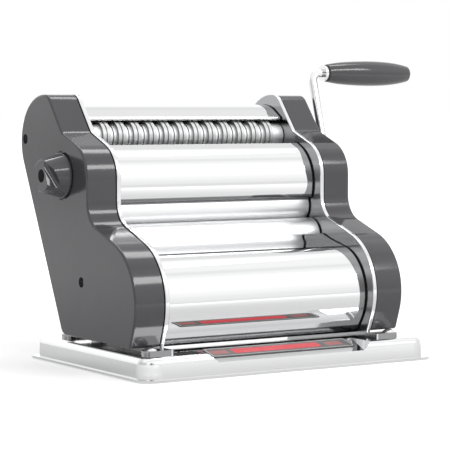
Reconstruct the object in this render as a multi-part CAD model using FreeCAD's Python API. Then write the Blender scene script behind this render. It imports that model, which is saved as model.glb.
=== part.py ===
import FreeCAD, Part
import math
import os

# Hand cranked pasta machine, in millimetres.
# +X runs along the roller axes from the knob side to the crank side, +Y goes
# to the back and +Z is up. The origin is the centre of the base's footprint
# at the level of the table.

V = FreeCAD.Vector
ALONG_X = V(1, 0, 0)

# Clearances shared by everything that fits or seats.
SEAT_GAP = 0.3
RUN_FIT = 0.05
SLIDE_FIT = 0.08
SLOT_GAP = 0.2

# Side plates: their inner faces set the working width.
HALF_WIDTH = 91.0
PLATE_T = 3.5
PLATE_OUT = HALF_WIDTH + PLATE_T
PLATE_EDGE_R = 0.8
COVER_END = HALF_WIDTH - SEAT_GAP

# Housings outside the plates.
HOUSING_DEPTH = 24.2
HOUSING_GAP = 0.9
HOUSING_WALL = 2.2
HOUSING_INSET = 0.8
HOUSING_LIFT = 3.6
HOUSING_FRONT_TOE_R = 3.0
HOUSING_BACK_TOE_R = 8.3
HOUSING_FRONT_REACH = 1.5
HOUSING_BACK_REACH = 0.45
HOUSING_RIM_R = 1.6
HOUSING_IN = PLATE_OUT + HOUSING_GAP
HOUSING_OUT = HOUSING_IN + HOUSING_DEPTH
BOSS_HEIGHT = 2.0
BOSS_FACE = HOUSING_OUT + BOSS_HEIGHT
BOSS_EDGE_R = 0.9
CRANK_BOSS_R = 16.0

# Screws that hold each housing to its plate: they stand in posts.
LEFT_HOUSING_SCREWS = [(110.0, 168.5), (19.25, 63.0)]
RIGHT_HOUSING_SCREWS = [(88.0, 118.0), (0.0, 50.0)]
HOUSING_SCREW_R = 1.8
HOUSING_SCREW_HEAD_R = 3.4
HOUSING_SCREW_HEAD_H = 1.9
SCREW_RECESS_R = 3.9
SCREW_RECESS_DEPTH = 4.4
POST_R = 3.1
POST_FOOT_R = 5.6
POST_FOOT_DEPTH = 7.4

# Toes of the side plates on the base, and the bolts of their tongues.
PLATE_FRONT = -53.0
PLATE_BACK = 53.0
FRONT_TOE_R = 2.0
BACK_TOE_R = 9.6
FOOT_BOLT_AHEAD = 7.4
FOOT_BOLT_BEHIND = 8.0
FOOT_BOLT_YS = (PLATE_FRONT - FOOT_BOLT_AHEAD, PLATE_BACK + FOOT_BOLT_BEHIND)
FOOT_BOLT_OUT = 12.25
FOOT_BOLT_X = PLATE_OUT + FOOT_BOLT_OUT

# Base of pressed sheet with a flange all round.
BASE_SIDE_MARGIN = 9.4
BASE_END_MARGIN = 29.1
BASE_LX = 2 * (HOUSING_OUT + BASE_SIDE_MARGIN)
BASE_LY = 2 * (BASE_END_MARGIN - FOOT_BOLT_YS[0])
BASE_T = 1.2
BASE_TOP = 17.1
BASE_DRAFT = 1.0
BASE_CORNER_R = 14.0
BASE_EDGE_R = 5.0
FLANGE_LIFT = 0.8
FLANGE_W = 3.0
FLANGE_CORNER_R = 10.0
RUBBER_R = 5.5
RUBBER_SIDE_MARGIN = 17.5
RUBBER_NUT_GAP = 1.7
RUBBER_EDGE_R = 0.6
RUBBER_TOP_EDGE_R = 2.2

# Label on its sloping seat in the front of the base.
LABEL_L = 127.0
LABEL_W = 17.4
LABEL_T = 0.6
LABEL_CORNER_R = 2.0
LABEL_SET_BACK = 0.5
LABEL_TILT = 13.3
LABEL_END_ROOM = 8.5
RECESS_RUN = 30.0
RECESS_BACK = -BASE_LY / 2 + RECESS_RUN
RECESS_END_SLOPE = 40.0

# The outline of the side plates is a string drawn round pegs. Each peg is
# (y, z, signed radius): positive turns left round it, negative turns right.
HEAD = (80.94, 166.25, 37.63)
BROW = (78.2, 191.6, 12.25)
NOTCH_TOP = (44.36, 180.3, -7.0)
SHOULDER = (36.58, 139.5, 28.0)
NOTCH_MID = (-11.2, 123.4, -19.8)
BELLY = (-14.9, 50.75, 47.25)
UPPER_PEGS = [HEAD, BROW, NOTCH_TOP, SHOULDER, NOTCH_MID, BELLY]


def toes(lift, front, front_r, back, back_r):
    # The two lowest pegs, which touch a line a little above the base.
    level = BASE_TOP + lift
    return [(front + front_r, level + front_r, front_r), (back - back_r, level + back_r, back_r)]


PLATE_TOES = toes(0.0, PLATE_FRONT, FRONT_TOE_R, PLATE_BACK, BACK_TOE_R)
HOUSING_TOES = toes(HOUSING_LIFT, PLATE_FRONT - HOUSING_FRONT_REACH, HOUSING_FRONT_TOE_R,
                    PLATE_BACK + HOUSING_BACK_REACH, HOUSING_BACK_TOE_R)

# Gears: one module and pressure angle for the whole train.
MODULE = 1.75
PRESSURE = math.radians(25.0)
ADDENDUM = 1.0
DEDENDUM = 1.3
TOOTH_SLACK = 0.22
CUTTER_TEETH = 13
ROLLER_TEETH = 16
TRANSFER_TEETH = 15
CRANK_TEETH = 24
DRIVE_TEETH = 25
GEAR_A_T = 7.0
GEAR_B_T = 6.0

# Smooth rollers, whose gears mesh when they all but touch.
ROLLER_R = MODULE * ROLLER_TEETH / 2
ROLLER_END_GAP = 0.9
ROLLER_HALF = HALF_WIDTH - ROLLER_END_GAP
ROLLER_EDGE_R = 0.8
NIP_GAP = 0.3
NIP_ANGLE = math.radians(236.6)
FIXED_ROLLER = (36.75, 114.6)

# Cutting rollers: pitch and width of the discs of each pair, how far the
# discs reach past the middle between the shafts, and the grooves' depth.
CUTTER_PITCH_R = MODULE * CUTTER_TEETH / 2
WIDE_PITCH = 13.7
WIDE_DISC = 6.7
WIDE_BITE = 0.525
WIDE_GROOVE = 2.4
WIDE_SCORE_W = 1.2
WIDE_SCORE_DEPTH = 0.7
WIDE_R = CUTTER_PITCH_R + WIDE_BITE
WIDE_CORE_R = WIDE_R - WIDE_GROOVE
THIN_PITCH = 3.6
THIN_DISC = 1.5
THIN_BITE = 0.425
THIN_GROOVE = 3.0
THIN_R = CUTTER_PITCH_R + THIN_BITE
THIN_CORE_R = THIN_R - THIN_GROOVE
CUTTER_END_GAP = 1.4
CUTTER_HALF = HALF_WIDTH - CUTTER_END_GAP

# Directions between neighbouring shafts, in the YZ plane.
CRANK_DIRECTION = math.radians(53.4)
WIDE_DIRECTION = math.radians(70.5)
TRANSFER_DIRECTION = math.radians(19.0)
THIN_DIRECTION = math.radians(-80.0)

# Shafts and bushes.
SHAFT_R = 5.0
DRIVE_SHAFT_R = 6.5
SHOULDER_STEP = 1.2
SHOULDER_GAP = 0.6
BUSH_WALL = 2.4
BUSH_FLANGE_T = 0.8
BUSH_FLANGE_W = 1.4
PIVOT_FLANGE_W = 0.6

# Combs: fingers in the grooves strip the noodles off each cutting roller.
# Each is the angle of its finger tips round the shaft, which way it runs
# from there (1 is anticlockwise seen from the crank), and its length.
COMB_GAP = 0.4
COMB_ROOT_GAP = 0.1
WIDE_LOWER_COMB = (50.0, -1, 15.5)
WIDE_UPPER_COMB = (-95.0, 1, 14.0)
THIN_UPPER_COMB = (-95.0, -1, 11.2)
THIN_LOWER_COMB = (125.0, 1, 13.5)

# Scraper behind the fixed smooth roller.
SCRAPER_GAP = 0.45
SCRAPER_ANGLE = math.radians(-33.0)
SCRAPER_RUN = math.radians(38.0)
SCRAPER_LENGTH = 12.0
SCRAPER_TAB_INSET = 3.2

# Sheet covers between the plates, held by tabs in slots.
SHEET_T = 1.0
LIP_R = 2.4
TAB_W = 5.0
TAB_REACH = PLATE_T - 0.5
TOP_COVER_CREST = (88.6, 181.0, 14.5)
TOP_COVER_FRONT = (88.65, 167.8, 27.6)
TOP_COVER_LIP = (66.0, 184.3, 1.5)
CUTTER_COVER_GAP = 0.8
FRONT_COVER_LIP = (4.5, 92.0, 1.2)
FRONT_COVER_SHELF = (-32.0, 175.7, -90.0)
FRONT_COVER_BELLY = (-16.0, 49.0, 37.0)
REAR_COVER_INSET = 4.5
REAR_COVER_TOP = math.radians(-2.0)
REAR_COVER_LOW = 105.0
REAR_TAB_Z = 128.0
MIDDLE_COVER_LIP = (40.6, 163.0, 1.5)
MIDDLE_COVER_BEND = (51.0, 133.0, 33.0)
MIDDLE_COVER_HEM = (21.2, 122.9, 1.6)
CHUTE_CLEARANCE = 3.0

# Layers along X, measured outwards from the plates.
LAYER_GAP = 0.5
ARM_T = 3.0
CAM_T = 3.6
BRACKET_T = 2.0

# Thickness adjustment.
SWING_PIVOT = (43.3, 77.0)
SWING_TRAVEL = math.radians(5.7)
ARM_HUB_WALL = 1.8
ARM_TAIL_R = 4.6
FOLLOWER = (66.4, 140.0)
FOLLOWER_R = 2.0
KNOB_AXIS = (49.5, 141.75)
KNOB_TRAVEL = math.radians(320.0)
CAM_R = 21.5
CAM_SLOT_DEPTH = 2.5
CAM_SLOT_SLACK = 0.3
CAM_SLOT_SPARE = 0.004
KNOB_SHAFT_R = 4.0
KNOB_SHAFT_COVER = 8.4
KNOB_HOLE_GAP = 0.3
KNOB_LIFT = 0.4
KNOB_RIM_R = 17.5
KNOB_RIM_H = 2.0
KNOB_RIM_EDGE_R = 0.8
KNOB_FOOT_R = 16.8
KNOB_END_R = 12.2
KNOB_END_EDGE_R = 0.8
KNOB_HEIGHT = 17.0
KNOB_BAR_W = 14.6
KNOB_BAR_ANGLE = 68.0
KNOB_SCOOP_DEPTH = 4.2
KNOB_SCOOP_SLOPE = 23.0
KNOB_SCOOP_R = 2.5
KNOB_GROOVE_OUT = 1.1
KNOB_GROOVE_IN = 2.0
KNOB_GROOVE_DEPTH = 1.4
KNOB_SCREW_R = 2.0
KNOB_SCREW_HEAD_R = 3.6
KNOB_SCREW_HEAD_H = 1.8
KNOB_SCREW_DEPTH = 10.0
KNOB_RECESS_R = 5.0
KNOB_RECESS_DEPTH = 6.0
KNOB_BASE = HOUSING_OUT + KNOB_LIFT
KNOB_END = KNOB_BASE + KNOB_HEIGHT

# Bracket that carries the knob's shaft: a bridge on two legs.
BRACKET_LEG_SPOTS = [(27.0, 200.0), (28.0, -3.0)]
BRACKET_WEB_R = 6.0
BRACKET_HUB_R = 11.0
BRACKET_SLEEVE_R = 7.0
BRACKET_SLEEVE = 7.5
BRACKET_LEG_R = 3.6
BRACKET_SCREW_R = 1.5
BRACKET_HEAD_R = 3.0
BRACKET_HEAD_H = 1.8

# Crank and grip.
ROD_R = 3.5
ROD_FLAT = 2.5
CRANK_STAND_OFF = 15.0
CRANK_PLANE = HOUSING_OUT + CRANK_STAND_OFF
CRANK_TOP = (83.6, 222.0)
CRANK_BEND_R = 8.0
CRANK_BUSH_WALL = 2.4
CRANK_BUSH_FLANGE_W = 2.0
CRANK_BUSH_FLANGE_T = 0.9
CRANK_HOLE_R = DRIVE_SHAFT_R + CRANK_BUSH_WALL
SOCKET_END = BOSS_FACE + CRANK_BUSH_FLANGE_T
STUB_INSET = 0.5
STUB_START = PLATE_OUT - STUB_INSET
FLAT_SPARE = 1.5
GRIP_OFFSET = 14.7
GRIP_START = CRANK_PLANE + GRIP_OFFSET
GRIP_LENGTH = 85.0
GRIP_R = 10.6
GRIP_EDGE_R = 1.0
SPINDLE_R = 3.0
FERRULE_T = 3.6
FERRULE_R = 6.4
FERRULE_NOSE_R = 5.4
FERRULE_NOSE_T = 0.9
RIVET_R = 4.4
RIVET_T = 2.2
RIVET_EDGE_R = 1.4

# Tie rods between the plates, and their screws.
TIE_R = 3.5
TIE_RODS = [(-26.0, 35.0), (33.0, 38.0), (30.5, 141.5), (91.8, 130.0)]
TIE_SCREW_R = 2.0
TIE_SCREW_DEPTH = 8.0
TIE_HOLE_SPARE = 0.5
TIE_HEAD_R = 3.6
TIE_HEAD_H = 2.0

# Feet of the plates: short tongues bolted through the base.
FOOT_T = 2.5
FOOT_W = 12.0
FOOT_REACH = 18.5
FOOT_CORNER_R = 5.0
FOOT_BOLT_R = 2.5
FOOT_BOLT_DOME_R = 6.2
FOOT_BOLT_DOME_SINK = 3.6
FOOT_BOLT_HEAD_R = 5.0
FOOT_BOLT_TAIL = 5.0
FOOT_NUT_R = 4.2
FOOT_NUT_H = 3.6


# Geometry in the YZ plane.

def polar(centre, radius, angle):
    return (centre[0] + radius * math.cos(angle), centre[1] + radius * math.sin(angle))


def gap_between(a, b):
    return math.hypot(b[0] - a[0], b[1] - a[1])


def heading(a, b):
    return math.atan2(b[1] - a[1], b[0] - a[0])


def at(x, point):
    return V(x, point[0], point[1])


def tangent_line(a, b):
    # The straight run of the string from peg a to peg b.
    lift = (a[2] - b[2]) / gap_between(a, b)
    angle = heading(a, b) + math.asin(max(-1.0, min(1.0, lift)))
    right = (math.sin(angle), -math.cos(angle))
    start = (a[0] + a[2] * right[0], a[1] + a[2] * right[1])
    end = (b[0] + b[2] * right[0], b[1] + b[2] * right[1])
    return start, end, angle


def line(start, end):
    return Part.LineSegment(start, end).toShape()


def arc(start, middle, end):
    return Part.Arc(start, middle, end).toShape()


def curve_through(points):
    curve = Part.BSplineCurve()
    curve.interpolate(points)
    return curve.toShape()


def peg_arc(x, peg, start, end, angle_in, angle_out):
    turn = angle_out - angle_in
    full = 2 * math.pi
    turn = turn % full if peg[2] > 0 else -((-turn) % full)
    half = angle_in + turn / 2
    middle = (peg[0] + peg[2] * math.sin(half), peg[1] - peg[2] * math.cos(half))
    return arc(at(x, start), at(x, middle), at(x, end))


def string_edges(x, pegs, closed):
    pairs = list(zip(pegs, pegs[1:]))
    if closed:
        pairs.append((pegs[-1], pegs[0]))
    runs = [tangent_line(a, b) for a, b in pairs]
    edges = []
    for i, (start, end, angle) in enumerate(runs):
        if gap_between(start, end) > 1e-4:
            edges.append(line(at(x, start), at(x, end)))
        if i + 1 < len(runs) or closed:
            peg = pairs[i][1]
            follow = runs[(i + 1) % len(runs)]
            if gap_between(end, follow[0]) > 1e-4:
                edges.append(peg_arc(x, peg, end, follow[0], angle, follow[2]))
    return edges


def inset(pegs, distance):
    return [(y, z, r - distance) for y, z, r in pegs]


def outline_block(pegs, x0, x1):
    wire = Part.Wire(string_edges(x0, pegs, True))
    return Part.Face(wire).extrude(V(x1 - x0, 0, 0))


def sheet(pegs, thickness, x0, x1):
    # A bent sheet whose outer face follows an open string.
    outer = string_edges(x0, pegs, False)
    inner = string_edges(x0, inset(pegs, thickness), False)
    first = line(outer[0].Vertexes[0].Point, inner[0].Vertexes[0].Point)
    last = line(outer[-1].Vertexes[-1].Point, inner[-1].Vertexes[-1].Point)
    wire = Part.Wire(Part.__sortEdges__(outer + [last] + inner + [first]))
    return Part.Face(wire).extrude(V(x1 - x0, 0, 0))


def rod(point, radius, x0, x1):
    return Part.makeCylinder(radius, x1 - x0, at(x0, point), ALONG_X)


def ring(point, outer, inner, x0, x1):
    return rod(point, outer, x0, x1).cut(rod(point, inner, x0 - 1, x1 + 1))


def turned(point, steps):
    # A shaft turned from one bar: steps are (x0, x1, radius) from left to right.
    points = [V(steps[0][0], 0, 0)]
    for x0, x1, radius in steps:
        points.append(V(x0, radius, 0))
        points.append(V(x1, radius, 0))
    points.append(V(steps[-1][1], 0, 0))
    points.append(points[0])
    face = Part.Face(Part.makePolygon(points))
    solid = face.revolve(V(0, 0, 0), ALONG_X, 360)
    solid.translate(at(0, point))
    return solid


def mirrored(shape):
    return shape.mirror(V(0, 0, 0), ALONG_X)


def both_sides(shape):
    return [shape, mirrored(shape)]


def strip(point, angle, length, thickness, x0, x1):
    # A flat bar seen end on: it starts at the point and runs along the angle,
    # with its thickness to the left of that direction.
    box = Part.makeBox(x1 - x0, length, thickness, V(x0, 0, 0))
    box.rotate(V(0, 0, 0), ALONG_X, math.degrees(angle))
    box.translate(at(0, point))
    return box


def link(points, radius, x0, x1):
    # A flat lever with round ends through two points.
    a, b = [(p[0], p[1], radius) for p in points]
    return outline_block([a, b], x0, x1)


def save(name, shapes):
    shape = shapes if not isinstance(shapes, list) else Part.makeCompound(shapes)
    shape.exportStep("parts/" + name + ".step")


# Places of the shafts, worked out from the gears that join them.

def gear_distance(teeth_a, teeth_b):
    return MODULE * (teeth_a + teeth_b) / 2


def after(layer, thickness):
    # The layer along X that starts a gap beyond another one.
    return (layer[1] + LAYER_GAP, layer[1] + LAYER_GAP + thickness)


ARM_LAYER = after((PLATE_OUT, PLATE_OUT + BUSH_FLANGE_T), ARM_T)
GEAR_LAYER_A = after(ARM_LAYER, GEAR_A_T)
GEAR_LAYER_B = after(GEAR_LAYER_A, GEAR_B_T)
CAM_LAYER = after(ARM_LAYER, CAM_T)
BRACKET_LAYER = after(CAM_LAYER, BRACKET_T)
LEFT_GEAR_LAYER = after(BRACKET_LAYER, GEAR_B_T)

ADJUSTABLE_ROLLER = polar(FIXED_ROLLER, 2 * ROLLER_R + NIP_GAP, NIP_ANGLE)
WIDE_LOWER = polar(FIXED_ROLLER, gear_distance(CRANK_TEETH, DRIVE_TEETH), CRANK_DIRECTION)
WIDE_UPPER = polar(WIDE_LOWER, gear_distance(CUTTER_TEETH, CUTTER_TEETH), WIDE_DIRECTION)
THIN_UPPER = polar(WIDE_UPPER, gear_distance(TRANSFER_TEETH, TRANSFER_TEETH), TRANSFER_DIRECTION)
THIN_LOWER = polar(THIN_UPPER, gear_distance(CUTTER_TEETH, CUTTER_TEETH), THIN_DIRECTION)


# Gears.

def involute(base_r, radius):
    return math.sqrt(max((radius / base_r) ** 2 - 1, 0)) - math.acos(min(base_r / radius, 1))


def gear(point, teeth, phase, bore, layer):
    # A spur gear with one tooth centred on the angle called phase.
    pitch_r = MODULE * teeth / 2
    base_r = pitch_r * math.cos(PRESSURE)
    tip_r = pitch_r + ADDENDUM * MODULE
    root_r = pitch_r - DEDENDUM * MODULE
    half_tooth = (math.pi * MODULE / 2 - TOOTH_SLACK / 2) / 2 / pitch_r
    at_base = half_tooth + involute(base_r, pitch_r)
    start_r = max(base_r, root_r)
    flank = []
    for i in range(6):
        radius = start_r + (tip_r - start_r) * i / 5
        flank.append((radius, at_base - involute(base_r, radius)))
    at_root = flank[0][1]
    x0 = layer[0]
    edges = []
    pitch = 2 * math.pi / teeth
    for i in range(teeth):
        middle = phase + i * pitch
        rising = [at(x0, polar(point, r, middle - a)) for r, a in flank]
        falling = [at(x0, polar(point, r, middle + a)) for r, a in reversed(flank)]
        root_in = at(x0, polar(point, root_r, middle - at_root))
        root_out = at(x0, polar(point, root_r, middle + at_root))
        next_in = at(x0, polar(point, root_r, middle + pitch - at_root))
        valley = at(x0, polar(point, root_r, middle + pitch / 2))
        tip = at(x0, polar(point, tip_r, middle))
        if start_r > root_r:
            edges.append(line(root_in, rising[0]))
        edges.append(curve_through(rising))
        edges.append(arc(rising[-1], tip, falling[0]))
        edges.append(curve_through(falling))
        if start_r > root_r:
            edges.append(line(falling[-1], root_out))
        edges.append(arc(root_out, valley, next_in))
    solid = Part.Face(Part.Wire(edges)).extrude(V(layer[1] - layer[0], 0, 0))
    return solid.cut(rod(point, bore, layer[0] - 1, layer[1] + 1))


def meshing_phase(teeth_a, phase_a, direction, teeth_b):
    # Phase of gear b so that it meshes with gear a, which lies on the other
    # side along the direction from a to b.
    offset = teeth_a * (phase_a - direction)
    return direction + math.pi - (offset + math.pi) / teeth_b


def flipped(layer):
    return (-layer[1], -layer[0])


# Base.

def upright_edges(block):
    return [e for e in block.Edges if e.BoundBox.ZLength > 1e-6]


def rounded_slab(length, width, corner, z0, z1):
    slab = Part.makeBox(length, width, z1 - z0, V(-length / 2, -width / 2, z0))
    return slab.makeFillet(corner, upright_edges(slab))


def rounded_outline(length, width, corner, z):
    slab = rounded_slab(length, width, corner, z, z + 1)
    return [f for f in slab.Faces if f.BoundBox.ZMax < z + 1e-6][0].OuterWire


def label_recess(depth):
    # The sloping seat of the label and its two sloping ends, sunk by a depth.
    size = 2 * BASE_LX
    wedge = Part.makeBox(size, size, size, V(-size / 2, -size, -depth))
    wedge.rotate(V(0, 0, 0), ALONG_X, LABEL_TILT)
    wedge.translate(V(0, RECESS_BACK, BASE_TOP))
    for side in (-1, 1):
        x0 = 0 if side < 0 else -size
        half = Part.makeBox(size, 2 * size, 2 * size, V(x0, -size, -size))
        half.translate(V(side * depth, 0, 0))
        half.rotate(V(0, 0, 0), V(0, 1, 0), side * (90 - RECESS_END_SLOPE))
        half.translate(V(side * (LABEL_L / 2 + LABEL_END_ROOM), 0, BASE_TOP))
        wedge = wedge.common(half)
    return wedge


def base_solid(shrink, top):
    # The pressed block, drawn in by its draft; shrunk, it is the hollow below.
    low = FLANGE_LIFT - shrink
    lean = BASE_DRAFT * (top - low) / BASE_TOP
    length = BASE_LX - 2 * FLANGE_W - 2 * shrink
    width = BASE_LY - 2 * FLANGE_W - 2 * shrink
    corner = BASE_CORNER_R - shrink
    lower = rounded_outline(length, width, corner, low)
    upper = rounded_outline(length - 2 * lean, width - 2 * lean, corner - lean, top)
    block = Part.makeLoft([lower, upper], True, True)
    rim = [e for e in block.Edges if e.BoundBox.ZMin > top - 1e-4]
    return block.makeFillet(BASE_EDGE_R - shrink, rim)


def make_base():
    flange = rounded_slab(BASE_LX, BASE_LY, FLANGE_CORNER_R, FLANGE_LIFT, FLANGE_LIFT + BASE_T)
    outer = base_solid(0, BASE_TOP).cut(label_recess(0))
    inner = base_solid(BASE_T, BASE_TOP - BASE_T).cut(label_recess(BASE_T))
    shell = outer.fuse(flange).cut(inner)
    for y in FOOT_BOLT_YS:
        hole = Part.makeCylinder(FOOT_BOLT_R + SLIDE_FIT, 2 * BASE_TOP, V(FOOT_BOLT_X, y, 0))
        for bolt_hole in both_sides(hole):
            shell = shell.cut(bolt_hole)
    return shell.removeSplitter()


def make_rubber_feet():
    feet = []
    height = BASE_TOP - BASE_T
    x = BASE_LX / 2 - RUBBER_SIDE_MARGIN
    beyond_nut = FOOT_NUT_R + RUBBER_R + RUBBER_NUT_GAP
    for y in (FOOT_BOLT_YS[0] - beyond_nut, FOOT_BOLT_YS[1] + beyond_nut):
        foot = Part.makeCylinder(RUBBER_R, height, V(x, y, 0))
        lower = [e for e in foot.Edges if e.BoundBox.ZMax < 1e-6]
        foot = foot.makeFillet(RUBBER_EDGE_R, lower)
        upper = [e for e in foot.Edges if e.BoundBox.ZMin > height - 1e-6]
        feet += both_sides(foot.makeFillet(RUBBER_TOP_EDGE_R, upper))
    return feet


def make_label():
    label = Part.makeBox(LABEL_L, LABEL_W, LABEL_T, V(-LABEL_L / 2, -LABEL_W, 0))
    label = label.makeFillet(LABEL_CORNER_R, upright_edges(label))
    label.translate(V(0, -LABEL_SET_BACK, 0))
    label.rotate(V(0, 0, 0), ALONG_X, LABEL_TILT)
    label.translate(V(0, RECESS_BACK, BASE_TOP))
    return label


# Sheet covers between the plates. Each has tabs that sit in slots in the
# side plates: (y, z, angle of the sheet at the tab).

BACK_LINE = tangent_line(PLATE_TOES[1], HEAD)
BACK_ANGLE = BACK_LINE[2]


def on_back_line(z, distance):
    start = BACK_LINE[0]
    y = start[0] + (z - start[1]) / math.tan(BACK_ANGLE)
    return (y - distance / math.sin(BACK_ANGLE), z)


def top_cover_pegs():
    over = THIN_R + CUTTER_COVER_GAP + SHEET_T
    return [
        (THIN_UPPER[0] + over - 0.4, THIN_UPPER[1] - 3.2, 0),
        (THIN_UPPER[0], THIN_UPPER[1], over),
        TOP_COVER_CREST,
        TOP_COVER_FRONT,
        TOP_COVER_LIP,
        (TOP_COVER_LIP[0] + 2.8, TOP_COVER_LIP[1] + 0.6, 0),
    ]


def middle_cover_pegs():
    return [
        (MIDDLE_COVER_LIP[0] + 6.2, MIDDLE_COVER_LIP[1] - 3.4, 0),
        MIDDLE_COVER_LIP,
        MIDDLE_COVER_BEND,
        MIDDLE_COVER_HEM,
        (MIDDLE_COVER_HEM[0] + 2.2, MIDDLE_COVER_HEM[1] - 0.7, 0),
    ]


def front_cover_pegs():
    return [
        (FRONT_COVER_LIP[0] + 0.1, FRONT_COVER_LIP[1] - 4.0, 0),
        FRONT_COVER_LIP,
        FRONT_COVER_SHELF,
        FRONT_COVER_BELLY,
        (-38.0, 22.5, 4.0),
        (-28.0, 19.2, 0),
    ]


def rear_cover_pegs():
    radius = HEAD[2] - REAR_COVER_INSET
    start = polar(HEAD, radius, REAR_COVER_TOP)
    low = on_back_line(REAR_COVER_LOW, REAR_COVER_INSET)
    return [
        (low[0] - 4.5, low[1] + 1.0, 0),
        (low[0] - LIP_R, low[1] + LIP_R, LIP_R),
        (HEAD[0], HEAD[1], radius),
        (start[0] - LIP_R - 0.05, start[1] + 0.2, LIP_R),
        (start[0] - 4.6, start[1] + 1.6, 0),
    ]


def chute_pegs():
    return [
        (62.0, 44.5, 0),
        (SWING_PIVOT[0], SWING_PIVOT[1], SHAFT_R + CHUTE_CLEARANCE + SHEET_T),
        (34.6, 83.6, 0),
    ]


def chute_tab():
    start, end, angle = tangent_line(*chute_pegs()[:2])
    spot = polar(start, gap_between(start, end) * 0.45, angle)
    spot = polar(spot, SHEET_T / 2, angle + math.pi / 2)
    return (spot[0], spot[1], angle)


def top_of(peg):
    return (peg[0], peg[1] + peg[2] - SHEET_T / 2, 0.0)


def front_of(peg):
    return (peg[0] - peg[2] + SHEET_T / 2, peg[1], math.pi / 2)


COVER_TABS = {
    "top_cover": [top_of(TOP_COVER_CREST)],
    "middle_cover": [front_of(MIDDLE_COVER_BEND)],
    "front_cover": [front_of(FRONT_COVER_BELLY)],
    "rear_cover": [on_back_line(REAR_TAB_Z, REAR_COVER_INSET + SHEET_T / 2) + (BACK_ANGLE,)],
    "delivery_chute": [chute_tab()],
}


def tabs(places, clearance, x0, x1):
    shapes = []
    for y, z, angle in places:
        width = TAB_W + 2 * clearance
        depth = SHEET_T + 2 * clearance
        corner = polar(polar((y, z), width / 2, angle + math.pi), depth / 2, angle - math.pi / 2)
        shapes += both_sides(strip(corner, angle, width, depth, x0, x1))
    return shapes


def cover(name, pegs):
    shape = sheet(pegs, SHEET_T, -COVER_END, COVER_END)
    return with_tabs(shape, COVER_TABS[name])


# Combs.

WIDE = {"pitch": WIDE_PITCH, "disc": WIDE_DISC, "radius": WIDE_R, "core": WIDE_CORE_R, "scored": True}
THIN = {"pitch": THIN_PITCH, "disc": THIN_DISC, "radius": THIN_R, "core": THIN_CORE_R, "scored": False}

# Shaft, pair of cutters, where the discs start and the comb's own values.
COMBS = {
    "wide_comb_lower": (WIDE_LOWER, WIDE, 0.0, WIDE_LOWER_COMB),
    "wide_comb_upper": (WIDE_UPPER, WIDE, 0.5, WIDE_UPPER_COMB),
    "thin_comb_upper": (THIN_UPPER, THIN, 0.0, THIN_UPPER_COMB),
    "thin_comb_lower": (THIN_LOWER, THIN, 0.5, THIN_LOWER_COMB),
}


def disc_middles(pitch, offset):
    # Middles of the discs along X: offset 0 has one at the centre, 0.5 has none.
    count = int((CUTTER_HALF - pitch * 0.25) / pitch - offset)
    first = -count - offset
    return [(first + i) * pitch for i in range(2 * count + 1 + (1 if offset else 0))]


def groove_middles(pitch, offset):
    middles = disc_middles(pitch, offset)
    return [a + pitch / 2 for a in middles[:-1]]


def comb_frame(name):
    # Tip of the fingers, direction, length of the fingers and of the comb.
    shaft, pair, offset, (angle, sense, length) = COMBS[name]
    angle = math.radians(angle)
    run = angle + sense * math.pi / 2
    tip_r = pair["core"] + COMB_GAP
    start = polar(shaft, tip_r, angle)
    root_r = pair["radius"] + SEAT_GAP + COMB_ROOT_GAP
    return start, run, math.sqrt(root_r ** 2 - tip_r ** 2), length


def comb_strip(name, begin, length, x0, x1):
    # A strip along the comb whose thickness lies away from the roller.
    start, run = comb_frame(name)[:2]
    sense = COMBS[name][3][1]
    corner = polar(start, begin, run)
    if sense > 0:
        corner = polar(corner, SHEET_T, run - math.pi / 2)
    return strip(corner, run, length, SHEET_T, x0, x1)


def comb_tab(name):
    start, run, root, length = comb_frame(name)
    sense = COMBS[name][3][1]
    middle = polar(start, (root + length) / 2, run)
    middle = polar(middle, SHEET_T / 2, run - sense * math.pi / 2)
    return (middle[0], middle[1], run)


def with_tabs(shape, places):
    for tab in tabs(places, 0, COVER_END - 0.5, HALF_WIDTH + TAB_REACH):
        shape = shape.fuse(tab)
    return shape.removeSplitter()


def make_comb(name):
    root, length = comb_frame(name)[2:]
    pair, offset = COMBS[name][1:3]
    half = (pair["pitch"] - pair["disc"]) / 2 - SEAT_GAP
    shape = comb_strip(name, root, length - root, -COVER_END, COVER_END)
    fingers = []
    for x in groove_middles(pair["pitch"], offset):
        fingers.append(comb_strip(name, 0, root + 0.2, x - half, x + half))
    return with_tabs(shape.fuse(fingers), [comb_tab(name)])


def scraper_start():
    return polar(FIXED_ROLLER, ROLLER_R + SCRAPER_GAP, SCRAPER_ANGLE)


def scraper_tab():
    middle = polar(scraper_start(), SCRAPER_LENGTH - SCRAPER_TAB_INSET, SCRAPER_RUN)
    middle = polar(middle, SHEET_T / 2, SCRAPER_RUN - math.pi / 2)
    return (middle[0], middle[1], SCRAPER_RUN)


def make_scraper():
    start = polar(scraper_start(), SHEET_T, SCRAPER_RUN - math.pi / 2)
    shape = strip(start, SCRAPER_RUN, SCRAPER_LENGTH, SHEET_T, -COVER_END, COVER_END)
    return with_tabs(shape, [scraper_tab()])


# Side plates.

def roller_window(x0, x1):
    # The adjustable roller's journal moves along a short slot.
    moved = turned_about(ADJUSTABLE_ROLLER, SWING_PIVOT, SWING_TRAVEL)
    return link([ADJUSTABLE_ROLLER, moved], SHAFT_R + 0.8, x0, x1)


def turned_about(point, centre, angle):
    return polar(centre, gap_between(centre, point), heading(centre, point) + angle)


def bush_radius(shaft_r):
    return shaft_r + RUN_FIT + BUSH_WALL


PLAIN_BUSHES = [FIXED_ROLLER, WIDE_UPPER, THIN_UPPER, THIN_LOWER, SWING_PIVOT]


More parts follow.
